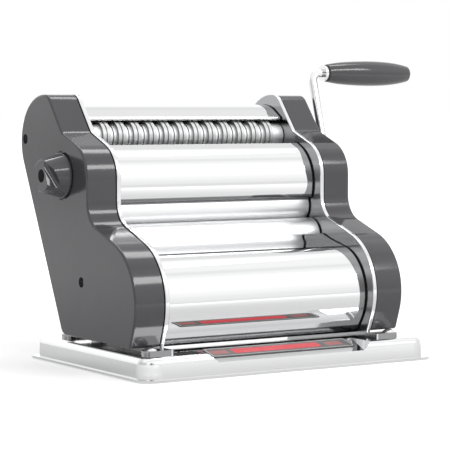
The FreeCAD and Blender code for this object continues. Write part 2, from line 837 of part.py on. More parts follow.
def plate_tongue(y):
    x0 = PLATE_OUT - PLATE_T / 2
    x1 = PLATE_OUT + FOOT_REACH
    tongue = Part.makeBox(x1 - x0, FOOT_W, FOOT_T, V(x0, y - FOOT_W / 2, BASE_TOP))
    outer = [e for e in upright_edges(tongue) if e.BoundBox.XMin > x0 + 1]
    return tongue.makeFillet(FOOT_CORNER_R, outer)


def make_plate(drive_bush_r, screws):
    # The right hand plate with one size of bush for the driven shaft.
    x0, x1 = HALF_WIDTH, PLATE_OUT
    plate = outline_block(PLATE_TOES + UPPER_PEGS, x0, x1)
    rims = [e for e in plate.Edges if abs(e.BoundBox.XLength) < 1e-6]
    plate = plate.makeFillet(PLATE_EDGE_R, rims)
    toe_line = strip((FOOT_BOLT_YS[0] - FOOT_W / 2, BASE_TOP), 0.0,
                     FOOT_BOLT_YS[1] - FOOT_BOLT_YS[0] + FOOT_W, FOOT_T, x0, x1)
    plate = plate.fuse(toe_line)
    for y in FOOT_BOLT_YS:
        plate = plate.fuse(plate_tongue(y))
    holes = [(point, bush_radius(SHAFT_R)) for point in PLAIN_BUSHES]
    holes += [(WIDE_LOWER, drive_bush_r)]
    holes += [(point, TIE_SCREW_R + SLIDE_FIT) for point in TIE_RODS]
    holes += [(point, radius) for point, radius in screws]
    for point, radius in holes:
        plate = plate.cut(rod(point, radius, x0 - 1, x1 + 1))
    plate = plate.cut(roller_window(x0 - 1, x1 + 1))
    places = sum(COVER_TABS.values(), []) + [comb_tab(name) for name in COMBS] + [scraper_tab()]
    for slot in tabs(places, SLOT_GAP, x0 - 1, x1 + 1):
        plate = plate.cut(slot)
    for y in FOOT_BOLT_YS:
        plate = plate.cut(Part.makeCylinder(FOOT_BOLT_R + SLIDE_FIT, 2 * BASE_TOP, V(FOOT_BOLT_X, y, 0)))
    return plate.removeSplitter()


def make_plates():
    left_screws = [(point, BRACKET_SCREW_R) for point in BRACKET_LEGS]
    left_screws += [(point, HOUSING_SCREW_R) for point in LEFT_HOUSING_SCREWS]
    right_screws = [(point, HOUSING_SCREW_R) for point in RIGHT_HOUSING_SCREWS]
    left = make_plate(bush_radius(SHAFT_R), left_screws)
    return mirrored(left), make_plate(bush_radius(DRIVE_SHAFT_R), right_screws)


def bush(point, shaft_r, x0, x1, flange_r):
    body = ring(point, bush_radius(shaft_r), shaft_r + RUN_FIT, x0, x1)
    collar = ring(point, flange_r, shaft_r + RUN_FIT, x1, x1 + BUSH_FLANGE_T)
    return body.fuse(collar)


def make_bushes():
    shapes = []
    for point in PLAIN_BUSHES + [WIDE_LOWER]:
        flange = bush_radius(SHAFT_R) + BUSH_FLANGE_W
        if point is SWING_PIVOT:
            flange = bush_radius(SHAFT_R) + PIVOT_FLANGE_W
        right = bush(point, SHAFT_R, HALF_WIDTH, PLATE_OUT, flange)
        shapes.append(mirrored(right))
        if point is WIDE_LOWER:
            flange = bush_radius(DRIVE_SHAFT_R) + BUSH_FLANGE_W
            right = bush(point, DRIVE_SHAFT_R, HALF_WIDTH, PLATE_OUT, flange)
        shapes.append(right)
    return shapes


# Screws with a domed or flat head; the head sits on the outer face.

def screw(point, shank_r, head_r, head_h, x_seat, depth, sign):
    head = turned((0, 0), [(0, head_h, head_r)])
    rim = [e for e in head.Edges if e.BoundBox.XMin > head_h - 1e-6]
    head = head.makeFillet(min(head_h, head_r) * 0.6, rim)
    shank = Part.makeCylinder(shank_r, depth, V(0, 0, 0), V(-1, 0, 0))
    body = head.fuse(shank)
    arm = head_r * 0.62
    for size in ((arm * 2, head_r * 0.24), (head_r * 0.24, arm * 2)):
        groove = Part.makeBox(head_h, size[0], size[1], V(head_h * 0.45, -size[0] / 2, -size[1] / 2))
        body = body.cut(groove)
    body.translate(at(x_seat, point))
    return body if sign > 0 else mirrored(body)


def make_tie_rods():
    shapes = []
    for point in TIE_RODS:
        bar = rod(point, TIE_R, -HALF_WIDTH, HALF_WIDTH)
        depth = TIE_SCREW_DEPTH + TIE_HOLE_SPARE
        for x0 in (-HALF_WIDTH - 1, HALF_WIDTH - depth):
            bar = bar.cut(rod(point, TIE_SCREW_R, x0, x0 + depth + 1))
        shapes.append(bar)
    return shapes


def make_tie_screws():
    shapes = []
    for point in TIE_RODS:
        for sign in (-1, 1):
            shapes.append(screw(point, TIE_SCREW_R, TIE_HEAD_R, TIE_HEAD_H, PLATE_OUT,
                                PLATE_T + TIE_SCREW_DEPTH, sign))
    return shapes


# Housings.

def housing_shell(screws):
    # The right hand housing, open towards the plate.
    x0, x1 = HOUSING_IN, HOUSING_OUT
    pegs = HOUSING_TOES + inset(UPPER_PEGS, HOUSING_INSET)
    body = outline_block(pegs, x0, x1)
    rim = [e for e in body.Edges if e.BoundBox.XMin > x1 - 1e-6]
    body = body.makeFillet(HOUSING_RIM_R, rim)
    cavity = outline_block(inset(pegs, HOUSING_WALL), x0 - 1, x1 - HOUSING_WALL)
    shell = body.cut(cavity)
    inside = outline_block(inset(pegs, HOUSING_WALL / 2), PLATE_OUT, x1 - HOUSING_WALL / 2)
    for point in screws:
        post = rod(point, POST_R, PLATE_OUT, x1 - HOUSING_WALL / 2)
        post = post.fuse(rod(point, POST_FOOT_R, x1 - POST_FOOT_DEPTH, x1 - HOUSING_WALL / 2))
        shell = shell.fuse(post.common(inside))
    for point in screws:
        shell = shell.cut(rod(point, HOUSING_SCREW_R, PLATE_OUT - 1, x1 + 1))
        shell = shell.cut(rod(point, SCREW_RECESS_R, x1 - SCREW_RECESS_DEPTH, x1 + 1))
    return shell


def make_left_housing():
    # A groove round the knob's foot, and the hole for its shaft.
    shell = housing_shell(LEFT_HOUSING_SCREWS)
    groove = ring(KNOB_AXIS, KNOB_RIM_R + KNOB_GROOVE_OUT, KNOB_RIM_R - KNOB_GROOVE_IN,
                  HOUSING_OUT - KNOB_GROOVE_DEPTH, HOUSING_OUT + 1)
    shell = shell.cut(groove)
    shell = shell.cut(rod(KNOB_AXIS, KNOB_SHAFT_R + KNOB_HOLE_GAP, HOUSING_IN, HOUSING_OUT + 1))
    return mirrored(shell.removeSplitter())


def make_right_housing():
    # A boss that holds the crank's bush.
    shell = housing_shell(RIGHT_HOUSING_SCREWS)
    raised = rod(WIDE_LOWER, CRANK_BOSS_R, HOUSING_OUT - HOUSING_WALL / 2, BOSS_FACE)
    lip = [e for e in raised.Edges if e.BoundBox.XMin > BOSS_FACE - 1e-6]
    shell = shell.fuse(raised.makeFillet(BOSS_EDGE_R, lip))
    shell = shell.cut(rod(WIDE_LOWER, CRANK_HOLE_R, HOUSING_IN, BOSS_FACE + 1))
    return shell.removeSplitter()


def make_housing_screws():
    shapes = []
    seat = HOUSING_OUT - SCREW_RECESS_DEPTH
    depth = seat - HALF_WIDTH - STUB_INSET
    for points, sign in ((LEFT_HOUSING_SCREWS, -1), (RIGHT_HOUSING_SCREWS, 1)):
        for point in points:
            shapes.append(screw(point, HOUSING_SCREW_R, HOUSING_SCREW_HEAD_R, HOUSING_SCREW_HEAD_H,
                                seat, depth, sign))
    return shapes


# Feet of the plates: bolts through the base with nuts beneath it.

def make_foot_bolts():
    shapes = []
    seat = BASE_TOP + FOOT_T
    depth = FOOT_T + BASE_T + FOOT_BOLT_TAIL
    for y in FOOT_BOLT_YS:
        dome = Part.makeSphere(FOOT_BOLT_DOME_R, V(FOOT_BOLT_X, y, seat - FOOT_BOLT_DOME_SINK))
        head = Part.makeCylinder(FOOT_BOLT_HEAD_R, FOOT_BOLT_DOME_R, V(FOOT_BOLT_X, y, seat))
        shank = Part.makeCylinder(FOOT_BOLT_R, depth, V(FOOT_BOLT_X, y, seat - depth))
        shapes += both_sides(dome.common(head).fuse(shank))
    return shapes


def make_foot_nuts():
    shapes = []
    low = BASE_TOP - BASE_T - FOOT_NUT_H
    for y in FOOT_BOLT_YS:
        corners = []
        for i in range(7):
            spot = polar((FOOT_BOLT_X, y), FOOT_NUT_R, math.radians(60 * i))
            corners.append(V(spot[0], spot[1], low))
        nut = Part.Face(Part.makePolygon(corners)).extrude(V(0, 0, FOOT_NUT_H))
        nut = nut.cut(Part.makeCylinder(FOOT_BOLT_R, BASE_TOP, V(FOOT_BOLT_X, y, 0)))
        shapes += both_sides(nut)
    return shapes


# Rollers and cutters.

def make_smooth_roller(point, right_end, left_end):
    neck = HALF_WIDTH - SHOULDER_GAP
    steps = [
        (-left_end, -neck, SHAFT_R),
        (-neck, -ROLLER_HALF, SHAFT_R + SHOULDER_STEP),
        (-ROLLER_HALF, ROLLER_HALF, ROLLER_R),
        (ROLLER_HALF, neck, SHAFT_R + SHOULDER_STEP),
        (neck, right_end, SHAFT_R),
    ]
    roller = turned(point, steps)
    ends = [e for e in roller.Edges
            if abs(abs(e.BoundBox.XMin) - ROLLER_HALF) < 1e-6 and e.BoundBox.YLength > 2 * ROLLER_R - 0.1]
    return roller.makeFillet(ROLLER_EDGE_R, ends)


def scored_band(x0, x1, radius):
    # A length of the cutter with a shallow groove round its middle.
    middle = (x0 + x1) / 2
    near = middle - WIDE_SCORE_W / 2
    far = middle + WIDE_SCORE_W / 2
    return [(x0, near, radius), (near, far, radius - WIDE_SCORE_DEPTH), (far, x1, radius)]


def make_cutter(point, pair, offset, right, left):
    # right and left are the (end, radius) of the two journals. The wide
    # discs, and the grooves between them, are scored round their middles.
    neck = HALF_WIDTH - SHOULDER_GAP
    steps = [(-left[0], -neck, left[1])]
    x = -neck
    for middle in disc_middles(pair["pitch"], offset):
        near = middle - pair["disc"] / 2
        far = middle + pair["disc"] / 2
        if pair["scored"] and x > -neck:
            steps += scored_band(x, near, pair["core"])
        else:
            steps.append((x, near, pair["core"]))
        if pair["scored"]:
            steps += scored_band(near, far, pair["radius"])
        else:
            steps.append((near, far, pair["radius"]))
        x = far
    steps.append((x, neck, pair["core"]))
    steps.append((neck, right[0], right[1]))
    return turned(point, steps)


def crank_flat(x0, x1, height):
    # What the flat on the crank's end takes off, above a height over its axis.
    wide = 6 * ROD_R
    return Part.makeBox(x1 - x0, wide, wide, V(x0, WIDE_LOWER[0] - wide / 2, WIDE_LOWER[1] + height))


def make_crank_socket_bore():
    bore = rod(WIDE_LOWER, ROD_R + SLIDE_FIT, STUB_START - SEAT_GAP, SOCKET_END + 1)
    return bore.cut(crank_flat(STUB_START - 1, SOCKET_END + 2, ROD_FLAT + SLIDE_FIT))


# Thickness adjustment on the left.

BRACKET_LEGS = [polar(KNOB_AXIS, r, math.radians(a)) for r, a in BRACKET_LEG_SPOTS]


def make_bracket():
    x0, x1 = flipped(BRACKET_LAYER)
    web = link(BRACKET_LEGS, BRACKET_WEB_R, x0, x1)
    web = web.fuse(rod(KNOB_AXIS, BRACKET_HUB_R, x0, x1))
    web = web.fuse(rod(KNOB_AXIS, BRACKET_SLEEVE_R, x0 - BRACKET_SLEEVE, x0))
    for point in BRACKET_LEGS:
        web = web.fuse(rod(point, BRACKET_LEG_R, x1, -PLATE_OUT))
    web = web.cut(rod(KNOB_AXIS, KNOB_SHAFT_R + RUN_FIT, x0 - BRACKET_SLEEVE - 1, x1 + 1))
    for point in BRACKET_LEGS:
        web = web.cut(rod(point, BRACKET_SCREW_R, x0 - 1, -PLATE_OUT + 1))
    return web.removeSplitter()


def make_bracket_screws():
    seat = BRACKET_LAYER[1]
    depth = seat - HALF_WIDTH - STUB_INSET
    return [screw(point, BRACKET_SCREW_R, BRACKET_HEAD_R, BRACKET_HEAD_H, seat, depth, -1)
            for point in BRACKET_LEGS]


def follower_in_cam(share):
    # Place of the follower seen from the cam, for a share of the full travel.
    moved = turned_about(FOLLOWER, SWING_PIVOT, SWING_TRAVEL * share)
    return turned_about(moved, KNOB_AXIS, -KNOB_TRAVEL * share)


def follower_heading(share):
    step = CAM_SLOT_SPARE / 2
    return heading(follower_in_cam(share - step), follower_in_cam(share + step))


def cam_slot():
    # The spiral slot in the cam's inner face, a little longer than its travel.
    half = FOLLOWER_R + CAM_SLOT_SLACK
    x0 = -CAM_LAYER[0] - CAM_SLOT_DEPTH
    steps = 24
    low, high = -CAM_SLOT_SPARE, 1 + CAM_SLOT_SPARE
    outer = []
    inner = []
    for i in range(steps + 1):
        share = low + (high - low) * i / steps
        here = follower_in_cam(share)
        side = follower_heading(share) + math.pi / 2
        if math.cos(side - heading(KNOB_AXIS, here)) < 0:
            side += math.pi
        outer.append(at(x0, polar(here, half, side)))
        inner.append(at(x0, polar(here, half, side + math.pi)))
    first_tip = at(x0, polar(follower_in_cam(low), half, follower_heading(low) + math.pi))
    last_tip = at(x0, polar(follower_in_cam(high), half, follower_heading(high)))
    edges = [
        curve_through(outer),
        arc(outer[-1], last_tip, inner[-1]),
        curve_through(inner),
        arc(inner[0], first_tip, outer[0]),
    ]
    wire = Part.Wire(Part.__sortEdges__(edges))
    return Part.Face(wire).extrude(V(CAM_SLOT_DEPTH + 1, 0, 0))


def make_cam():
    x0, x1 = flipped(CAM_LAYER)
    disc = rod(KNOB_AXIS, CAM_R, x0, x1)
    disc = disc.cut(cam_slot())
    return disc.cut(rod(KNOB_AXIS, KNOB_SHAFT_R, x0 - 1, x1 + 1))


def knob_scoop(angle):
    # What one finger scoop takes off: its floor slopes along the knob's bar.
    far = 3 * KNOB_RIM_R
    scoop = Part.makeBox(far, far, 2 * far, V(0, KNOB_BAR_W / 2, -far))
    edge = [e for e in scoop.Edges if e.BoundBox.ZLength > far and e.BoundBox.XMax < 1e-6
            and e.BoundBox.YMax < KNOB_BAR_W]
    scoop = scoop.makeFillet(KNOB_SCOOP_R, edge)
    scoop.rotate(V(0, 0, 0), V(0, 1, 0), -KNOB_SCOOP_SLOPE)
    scoop.rotate(V(0, 0, 0), ALONG_X, angle)
    scoop.translate(at(KNOB_END - KNOB_SCOOP_DEPTH, KNOB_AXIS))
    return scoop


def make_knob():
    # A round foot, a cone that rises from it, and a bar between two scoops.
    top = KNOB_BASE + KNOB_RIM_H
    foot = rod(KNOB_AXIS, KNOB_RIM_R, KNOB_BASE, top)
    lip = [e for e in foot.Edges if e.BoundBox.XMin > top - 1e-6]
    foot = foot.makeFillet(KNOB_RIM_EDGE_R, lip)
    cone = Part.makeCone(KNOB_FOOT_R, KNOB_END_R, KNOB_END - top, at(top, KNOB_AXIS), ALONG_X)
    lip = [e for e in cone.Edges if e.BoundBox.XMin > KNOB_END - 1e-6]
    cone = cone.makeFillet(KNOB_END_EDGE_R, lip)
    for turn in (90, 270):
        cone = cone.cut(knob_scoop(KNOB_BAR_ANGLE + turn))
    knob = foot.fuse(cone)
    knob = knob.cut(rod(KNOB_AXIS, KNOB_SHAFT_R, KNOB_BASE - 1, KNOB_END - KNOB_SHAFT_COVER))
    knob = knob.cut(rod(KNOB_AXIS, KNOB_SCREW_R, KNOB_BASE, KNOB_END + 1))
    knob = knob.cut(rod(KNOB_AXIS, KNOB_RECESS_R, KNOB_END - KNOB_RECESS_DEPTH, KNOB_END + 1))
    return mirrored(knob.removeSplitter())


def make_knob_shaft():
    end = KNOB_END - KNOB_SHAFT_COVER
    tapped = KNOB_RECESS_DEPTH + KNOB_SCREW_DEPTH - KNOB_SHAFT_COVER + TIE_HOLE_SPARE
    shaft = rod(KNOB_AXIS, KNOB_SHAFT_R, CAM_LAYER[0], end)
    return mirrored(shaft.cut(rod(KNOB_AXIS, KNOB_SCREW_R, end - tapped, end + 1)))


def make_knob_screw():
    return screw(KNOB_AXIS, KNOB_SCREW_R, KNOB_SCREW_HEAD_R, KNOB_SCREW_HEAD_H,
                 KNOB_END - KNOB_RECESS_DEPTH, KNOB_SCREW_DEPTH, -1)


def make_arm(side):
    x0, x1 = ARM_LAYER
    hub = bush_radius(SHAFT_R) + ARM_HUB_WALL
    arm = link([SWING_PIVOT, ADJUSTABLE_ROLLER], hub, x0, x1)
    if side < 0:
        arm = arm.fuse(link([SWING_PIVOT, FOLLOWER], ARM_TAIL_R, x0, x1))
        arm = arm.cut(rod(FOLLOWER, FOLLOWER_R, x0 - 1, x1 + 1))
    arm = arm.cut(rod(SWING_PIVOT, SHAFT_R, x0 - 1, x1 + 1))
    arm = arm.cut(rod(ADJUSTABLE_ROLLER, bush_radius(SHAFT_R), x0 - 1, x1 + 1))
    arm = arm.removeSplitter()
    return arm if side > 0 else mirrored(arm)


def make_swing_bushes():
    x0, x1 = ARM_LAYER
    shape = ring(ADJUSTABLE_ROLLER, bush_radius(SHAFT_R), SHAFT_R + RUN_FIT, x0 - 0.4, x1 + 0.3)
    return both_sides(shape)


def make_follower():
    x0 = -CAM_LAYER[0] - CAM_SLOT_DEPTH + 0.4
    return rod(FOLLOWER, FOLLOWER_R, x0, -ARM_LAYER[0])


# Crank.

def make_crank_arm():
    low = WIDE_LOWER
    top = CRANK_TOP
    lean = heading(low, top)
    r = CRANK_BEND_R
    x = CRANK_PLANE
    start = at(STUB_START, low)
    bend_in = at(x - r, low)
    bend_out = at(x, polar(low, r, lean))
    quarter = r * (1 - math.sqrt(0.5))
    bend_mid = at(x - quarter, polar(low, quarter, lean))
    upper_in = at(x, polar(top, -r, lean))
    upper_out = at(x + r, top)
    upper_mid = at(x + quarter, polar(top, -quarter, lean))
    rod_end = GRIP_START - SEAT_GAP - FERRULE_NOSE_T
    path = Part.Wire([
        line(start, bend_in),
        arc(bend_in, bend_mid, bend_out),
        line(bend_out, upper_in),
        arc(upper_in, upper_mid, upper_out),
        line(upper_out, at(rod_end, top)),
    ])
    section = Part.Wire([Part.Circle(start, ALONG_X, ROD_R).toShape()])
    arm = path.makePipeShell([section], True, False)
    arm = arm.cut(crank_flat(STUB_START - 1, SOCKET_END + FLAT_SPARE, ROD_FLAT))
    spindle = rod(top, SPINDLE_R, rod_end, GRIP_START + GRIP_LENGTH)
    return arm.fuse(spindle)


def make_ferrule():
    # A ring on the rod whose thinner nose turns round the spindle.
    x2 = GRIP_START - SEAT_GAP
    x1 = x2 - FERRULE_NOSE_T
    body = ring(CRANK_TOP, FERRULE_R, ROD_R, x2 - FERRULE_T, x1)
    return body.fuse(ring(CRANK_TOP, FERRULE_NOSE_R, SPINDLE_R, x1, x2))


def make_grip():
    # A barrel turned to shares of its largest radius along its length.
    x0 = GRIP_START
    x1 = x0 + GRIP_LENGTH
    shares = [(0, 0.68), (0.1, 0.82), (0.28, 0.943), (0.5, 1.0), (0.72, 0.953), (0.9, 0.792), (1.0, 0.623)]
    outline = [V(x0 + s * GRIP_LENGTH, r * GRIP_R, 0) for s, r in shares]
    edges = [
        line(V(x0, 0, 0), outline[0]),
        curve_through(outline),
        line(outline[-1], V(x1, 0, 0)),
        line(V(x1, 0, 0), V(x0, 0, 0)),
    ]
    body = Part.Face(Part.Wire(edges)).revolve(V(0, 0, 0), ALONG_X, 360)
    ends = [e for e in body.Edges if e.BoundBox.XLength < 1e-6]
    body = body.makeFillet(GRIP_EDGE_R, ends)
    body.translate(at(0, CRANK_TOP))
    return body.cut(rod(CRANK_TOP, SPINDLE_R + RUN_FIT, x0 - 1, x1 + 1))


def make_rivet():
    x0 = GRIP_START + GRIP_LENGTH + SEAT_GAP
    head = rod(CRANK_TOP, RIVET_R, x0, x0 + RIVET_T)
    rim = [e for e in head.Edges if e.BoundBox.XMin > x0 + RIVET_T - 1e-6]
    head = head.makeFillet(RIVET_EDGE_R, rim)
    neck = rod(CRANK_TOP, SPINDLE_R, x0 - SEAT_GAP, x0 + RIVET_T / 2)
    return head.fuse(neck)


def make_crank_bush():
    inner = DRIVE_SHAFT_R + 2 * RUN_FIT
    body = ring(WIDE_LOWER, CRANK_HOLE_R, inner, HOUSING_OUT - HOUSING_WALL, BOSS_FACE)
    flange = ring(WIDE_LOWER, CRANK_HOLE_R + CRANK_BUSH_FLANGE_W, inner, BOSS_FACE, SOCKET_END)
    return body.fuse(flange)


def make_all():
    os.makedirs("parts", exist_ok=True)
    save("base", make_base())
    save("base_feet", make_rubber_feet())
    save("label_plate", make_label())
    left, right = make_plates()
    save("left_side_plate", left)
    save("right_side_plate", right)
    save("left_housing", make_left_housing())
    save("right_housing", make_right_housing())
    save("housing_screws", make_housing_screws())
    save("foot_bolts", make_foot_bolts())
    save("foot_nuts", make_foot_nuts())
    save("top_cover", cover("top_cover", top_cover_pegs()))
    save("middle_cover", cover("middle_cover", middle_cover_pegs()))
    save("front_cover", cover("front_cover", front_cover_pegs()))
    save("rear_cover", cover("rear_cover", rear_cover_pegs()))
    save("delivery_chute", cover("delivery_chute", chute_pegs()))
    save("tie_rods", make_tie_rods())
    save("tie_rod_screws", make_tie_screws())
    save("plate_bushes", make_bushes())
    for name in COMBS:
        save(name, make_comb(name))
    save("roller_scraper", make_scraper())
    save("regulator_bracket", make_bracket())
    save("bracket_screws", make_bracket_screws())
    save("regulator_knob", make_knob())
    save("knob_shaft", make_knob_shaft())
    save("scroll_cam", make_cam())
    save("knob_screw", make_knob_screw())
    save("left_swing_arm", make_arm(-1))
    save("right_swing_arm", make_arm(1))
    save("swing_pivot_shaft", rod(SWING_PIVOT, SHAFT_R, -ARM_LAYER[1], ARM_LAYER[1]))
    save("follower_pin", make_follower())
    save("swing_bushes", make_swing_bushes())

    # The smooth rollers, and the gears on their right hand ends.
    save("fixed_roller", make_smooth_roller(FIXED_ROLLER, GEAR_LAYER_B[1], PLATE_OUT))
    save("adjustable_roller", make_smooth_roller(ADJUSTABLE_ROLLER, GEAR_LAYER_A[1], ARM_LAYER[1]))
    crank_phase = 0.0
    drive_phase = meshing_phase(CRANK_TEETH, crank_phase, heading(WIDE_LOWER, FIXED_ROLLER), DRIVE_TEETH)
    save("crank_gear", gear(WIDE_LOWER, CRANK_TEETH, crank_phase, DRIVE_SHAFT_R, GEAR_LAYER_B))
    save("fixed_roller_drive_gear", gear(FIXED_ROLLER, DRIVE_TEETH, drive_phase, SHAFT_R, GEAR_LAYER_B))
    roller_phase = 0.0
    other_phase = meshing_phase(ROLLER_TEETH, roller_phase, heading(FIXED_ROLLER, ADJUSTABLE_ROLLER),
                                ROLLER_TEETH)
    save("fixed_roller_gear", gear(FIXED_ROLLER, ROLLER_TEETH, roller_phase, SHAFT_R, GEAR_LAYER_A))
    save("adjustable_roller_gear", gear(ADJUSTABLE_ROLLER, ROLLER_TEETH, other_phase, SHAFT_R,
                                        GEAR_LAYER_A))

    # The wide cutting pair; the lower shaft is the one that the crank turns.
    lower = make_cutter(WIDE_LOWER, WIDE, 0.0, (SOCKET_END, DRIVE_SHAFT_R), (PLATE_OUT, SHAFT_R))
    save("wide_cutter_lower", lower.cut(make_crank_socket_bore()))
    save("wide_cutter_upper", make_cutter(WIDE_UPPER, WIDE, 0.5, (GEAR_LAYER_A[1], SHAFT_R),
                                          (LEFT_GEAR_LAYER[1], SHAFT_R)))
    wide_phase = 0.0
    upper_phase = meshing_phase(CUTTER_TEETH, wide_phase, WIDE_DIRECTION, CUTTER_TEETH)
    save("wide_gear_lower", gear(WIDE_LOWER, CUTTER_TEETH, wide_phase, DRIVE_SHAFT_R, GEAR_LAYER_A))
    save("wide_gear_upper", gear(WIDE_UPPER, CUTTER_TEETH, upper_phase, SHAFT_R, GEAR_LAYER_A))
    transfer_phase = 0.0
    rear_phase = meshing_phase(TRANSFER_TEETH, transfer_phase, TRANSFER_DIRECTION, TRANSFER_TEETH)
    save("transfer_gear_front", gear(WIDE_UPPER, TRANSFER_TEETH, transfer_phase, SHAFT_R,
                                     flipped(LEFT_GEAR_LAYER)))
    save("transfer_gear_rear", gear(THIN_UPPER, TRANSFER_TEETH, rear_phase, SHAFT_R,
                                    flipped(LEFT_GEAR_LAYER)))

    # The thin cutting pair.
    save("thin_cutter_upper", make_cutter(THIN_UPPER, THIN, 0.0, (GEAR_LAYER_B[1], SHAFT_R),
                                          (LEFT_GEAR_LAYER[1], SHAFT_R)))
    save("thin_cutter_lower", make_cutter(THIN_LOWER, THIN, 0.5, (GEAR_LAYER_B[1], SHAFT_R),
                                          (PLATE_OUT, SHAFT_R)))
    thin_phase = 0.0
    last_phase = meshing_phase(CUTTER_TEETH, thin_phase, THIN_DIRECTION, CUTTER_TEETH)
    save("thin_gear_upper", gear(THIN_UPPER, CUTTER_TEETH, thin_phase, SHAFT_R, GEAR_LAYER_B))
    save("thin_gear_lower", gear(THIN_LOWER, CUTTER_TEETH, last_phase, SHAFT_R, GEAR_LAYER_B))

    save("crank_bush", make_crank_bush())
    save("crank_arm", make_crank_arm())
    save("grip_ferrule", make_ferrule())
    save("crank_grip", make_grip())
    save("grip_rivet", make_rivet())


make_all()
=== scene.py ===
import bpy
import math
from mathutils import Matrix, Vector


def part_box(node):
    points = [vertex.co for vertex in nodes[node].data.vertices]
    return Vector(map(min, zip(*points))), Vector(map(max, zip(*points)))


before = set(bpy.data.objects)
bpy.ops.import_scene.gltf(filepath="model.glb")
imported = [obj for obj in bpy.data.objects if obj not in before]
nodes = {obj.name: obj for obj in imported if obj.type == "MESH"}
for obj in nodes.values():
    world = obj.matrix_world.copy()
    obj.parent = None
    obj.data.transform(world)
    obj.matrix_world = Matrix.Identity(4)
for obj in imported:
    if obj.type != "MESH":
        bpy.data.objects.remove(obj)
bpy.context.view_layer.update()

# Studio: a pale sheet in a white tent, lit by two soft boxes above and in front
# and by a low panel at the back left. None of it is part of the object.
scene = bpy.context.scene
scene.view_settings.view_transform = "Standard"

WHITE = (1, 1, 1, 1)
FLOOR_SIZE = 60.0
FLOOR_SHADE = 0.80
# How much the sheet glows in mirrors, near the object and far from it, and how
# much more of it the camera sees.
FLOOR_GLOW_NEAR = 0.20
FLOOR_GLOW_FAR = 0.68
FLOOR_GLOW_SEEN = 0.26
FLOOR_GLOW_REACH = (0.15, 0.90)
TENT_LIGHT = 0.45
TENT_SEEN = 1.0
TENT_BRIGHTEST = 1.45
# How bright the tent is over the object, from the front horizon at 0 degrees
# through the top at 90 to the back horizon at 180, as shares of its brightest.
TENT_ARCH = [(-180, 0.86), (-90, 0.66), (-27, 0.63), (-8, 0.67), (-2, 0.70), (8, 0.81),
             (18, 0.90), (28, 0.98), (54, 0.98), (62, 0.88), (70, 0.77), (78, 0.88), (92, 0.88),
             (107, 0.97), (117, 0.72), (128, 0.71), (142, 0.84), (155, 0.95), (180, 0.86)]
# What dims it low down: degrees anticlockwise from the left, share kept. The
# darkest part is the gap that the camera looks in through.
TENT_ROUND = [(0, 0.74), (18, 0.76), (26, 1.0), (40, 1.0), (47, 0.40), (56, 0.22), (64, 0.70),
              (76, 0.95), (90, 1.0), (296, 1.0), (312, 1.0), (318, 0.72), (340, 0.70), (360, 0.74)]
TENT_GAP_TOP = (0.40, 0.75)
# Its two ends, and from which share of a direction along X they count.
TENT_ENDS = 0.72
TENT_ENDS_FROM = (0.75, 0.95)
CAMERA_PLACE = (-0.8019, -1.2503, 0.1930)
CAMERA_TURN = (86.53, 0.0, -32.52)
CAMERA_LENS = 154.85
CAMERA_SENSOR = 36.0
CAMERA_REACH = 100.0
SOFT_BOXES = [
    # Name, place, aimed at, width and height, power, whether mirrors show it.
    ("front_box", (0.55, -1.69, 1.41), (0.0, 0.0, 0.12), (1.90, 0.45), 22.0, True),
    ("overhead_box", (0.60, 0.58, 1.90), (0.0, 0.0, 0.12), (1.50, 0.35), 9.0, True),
    ("back_left_panel", (-1.30, 1.50, 0.70), (0.0, 0.0, 0.10), (1.40, 1.00), 1.5, False),
]


def add(tree, kind, inputs=None, **settings):
    # One node, with its settings, its plain inputs and its links.
    made = tree.nodes.new(kind)
    for key, value in settings.items():
        setattr(made, key, value)
    for key, value in (inputs or {}).items():
        if isinstance(value, bpy.types.NodeSocket):
            tree.links.new(value, made.inputs[key])
        else:
            made.inputs[key].default_value = value
    return made


def sums(tree, operation, *values):
    # The socket of one sum, product or comparison of values or sockets.
    return add(tree, "ShaderNodeMath", dict(enumerate(values)), operation=operation).outputs[0]


def spread(tree, value, span, low=0.0, high=1.0):
    # Low to high while the value goes through the span, and level outside it.
    return add(tree, "ShaderNodeMapRange", {"Value": value, "From Min": span[0],
                                            "From Max": span[1], "To Min": low,
                                            "To Max": high}).outputs[0]


def mixed(tree, share, first, second, blend="MIX"):
    made = add(tree, "ShaderNodeMix", {"Factor": share, "A": first, "B": second},
               data_type="RGBA", blend_type=blend)
    return made.outputs["Result"]


def grey(level):
    return (level, level, level, 1)


def seen_in_metal(tree, path):
    # 1 for what shows in metal and through glass.
    return sums(tree, "MAXIMUM", path.outputs["Is Glossy Ray"],
                path.outputs["Is Transmission Ray"])


def make_floor():
    bpy.ops.object.select_all(action="DESELECT")
    bpy.ops.mesh.primitive_plane_add(size=FLOOR_SIZE)
    floor = bpy.context.object
    floor.name = "studio_floor"
    material = bpy.data.materials.new("pale_paper")
    material.use_nodes = True
    tree = material.node_tree
    tree.nodes.clear()
    path = add(tree, "ShaderNodeLightPath")
    camera = path.outputs["Is Camera Ray"]
    seen = sums(tree, "MAXIMUM", seen_in_metal(tree, path), camera)
    place = add(tree, "ShaderNodeTexCoord").outputs["Object"]
    away = add(tree, "ShaderNodeVectorMath", {0: place}, operation="LENGTH").outputs["Value"]
    glow = spread(tree, away, FLOOR_GLOW_REACH, FLOOR_GLOW_NEAR, FLOOR_GLOW_FAR)
    glow = sums(tree, "MULTIPLY", seen, glow)
    glow = sums(tree, "MULTIPLY_ADD", camera, FLOOR_GLOW_SEEN, glow)
    shine = add(tree, "ShaderNodeEmission", {"Color": WHITE, "Strength": glow})
    paper = add(tree, "ShaderNodeBsdfDiffuse", {"Color": grey(FLOOR_SHADE)})
    both = add(tree, "ShaderNodeAddShader", {0: paper.outputs[0], 1: shine.outputs[0]})
    add(tree, "ShaderNodeOutputMaterial", {"Surface": both.outputs[0]})
    floor.data.materials.append(material)


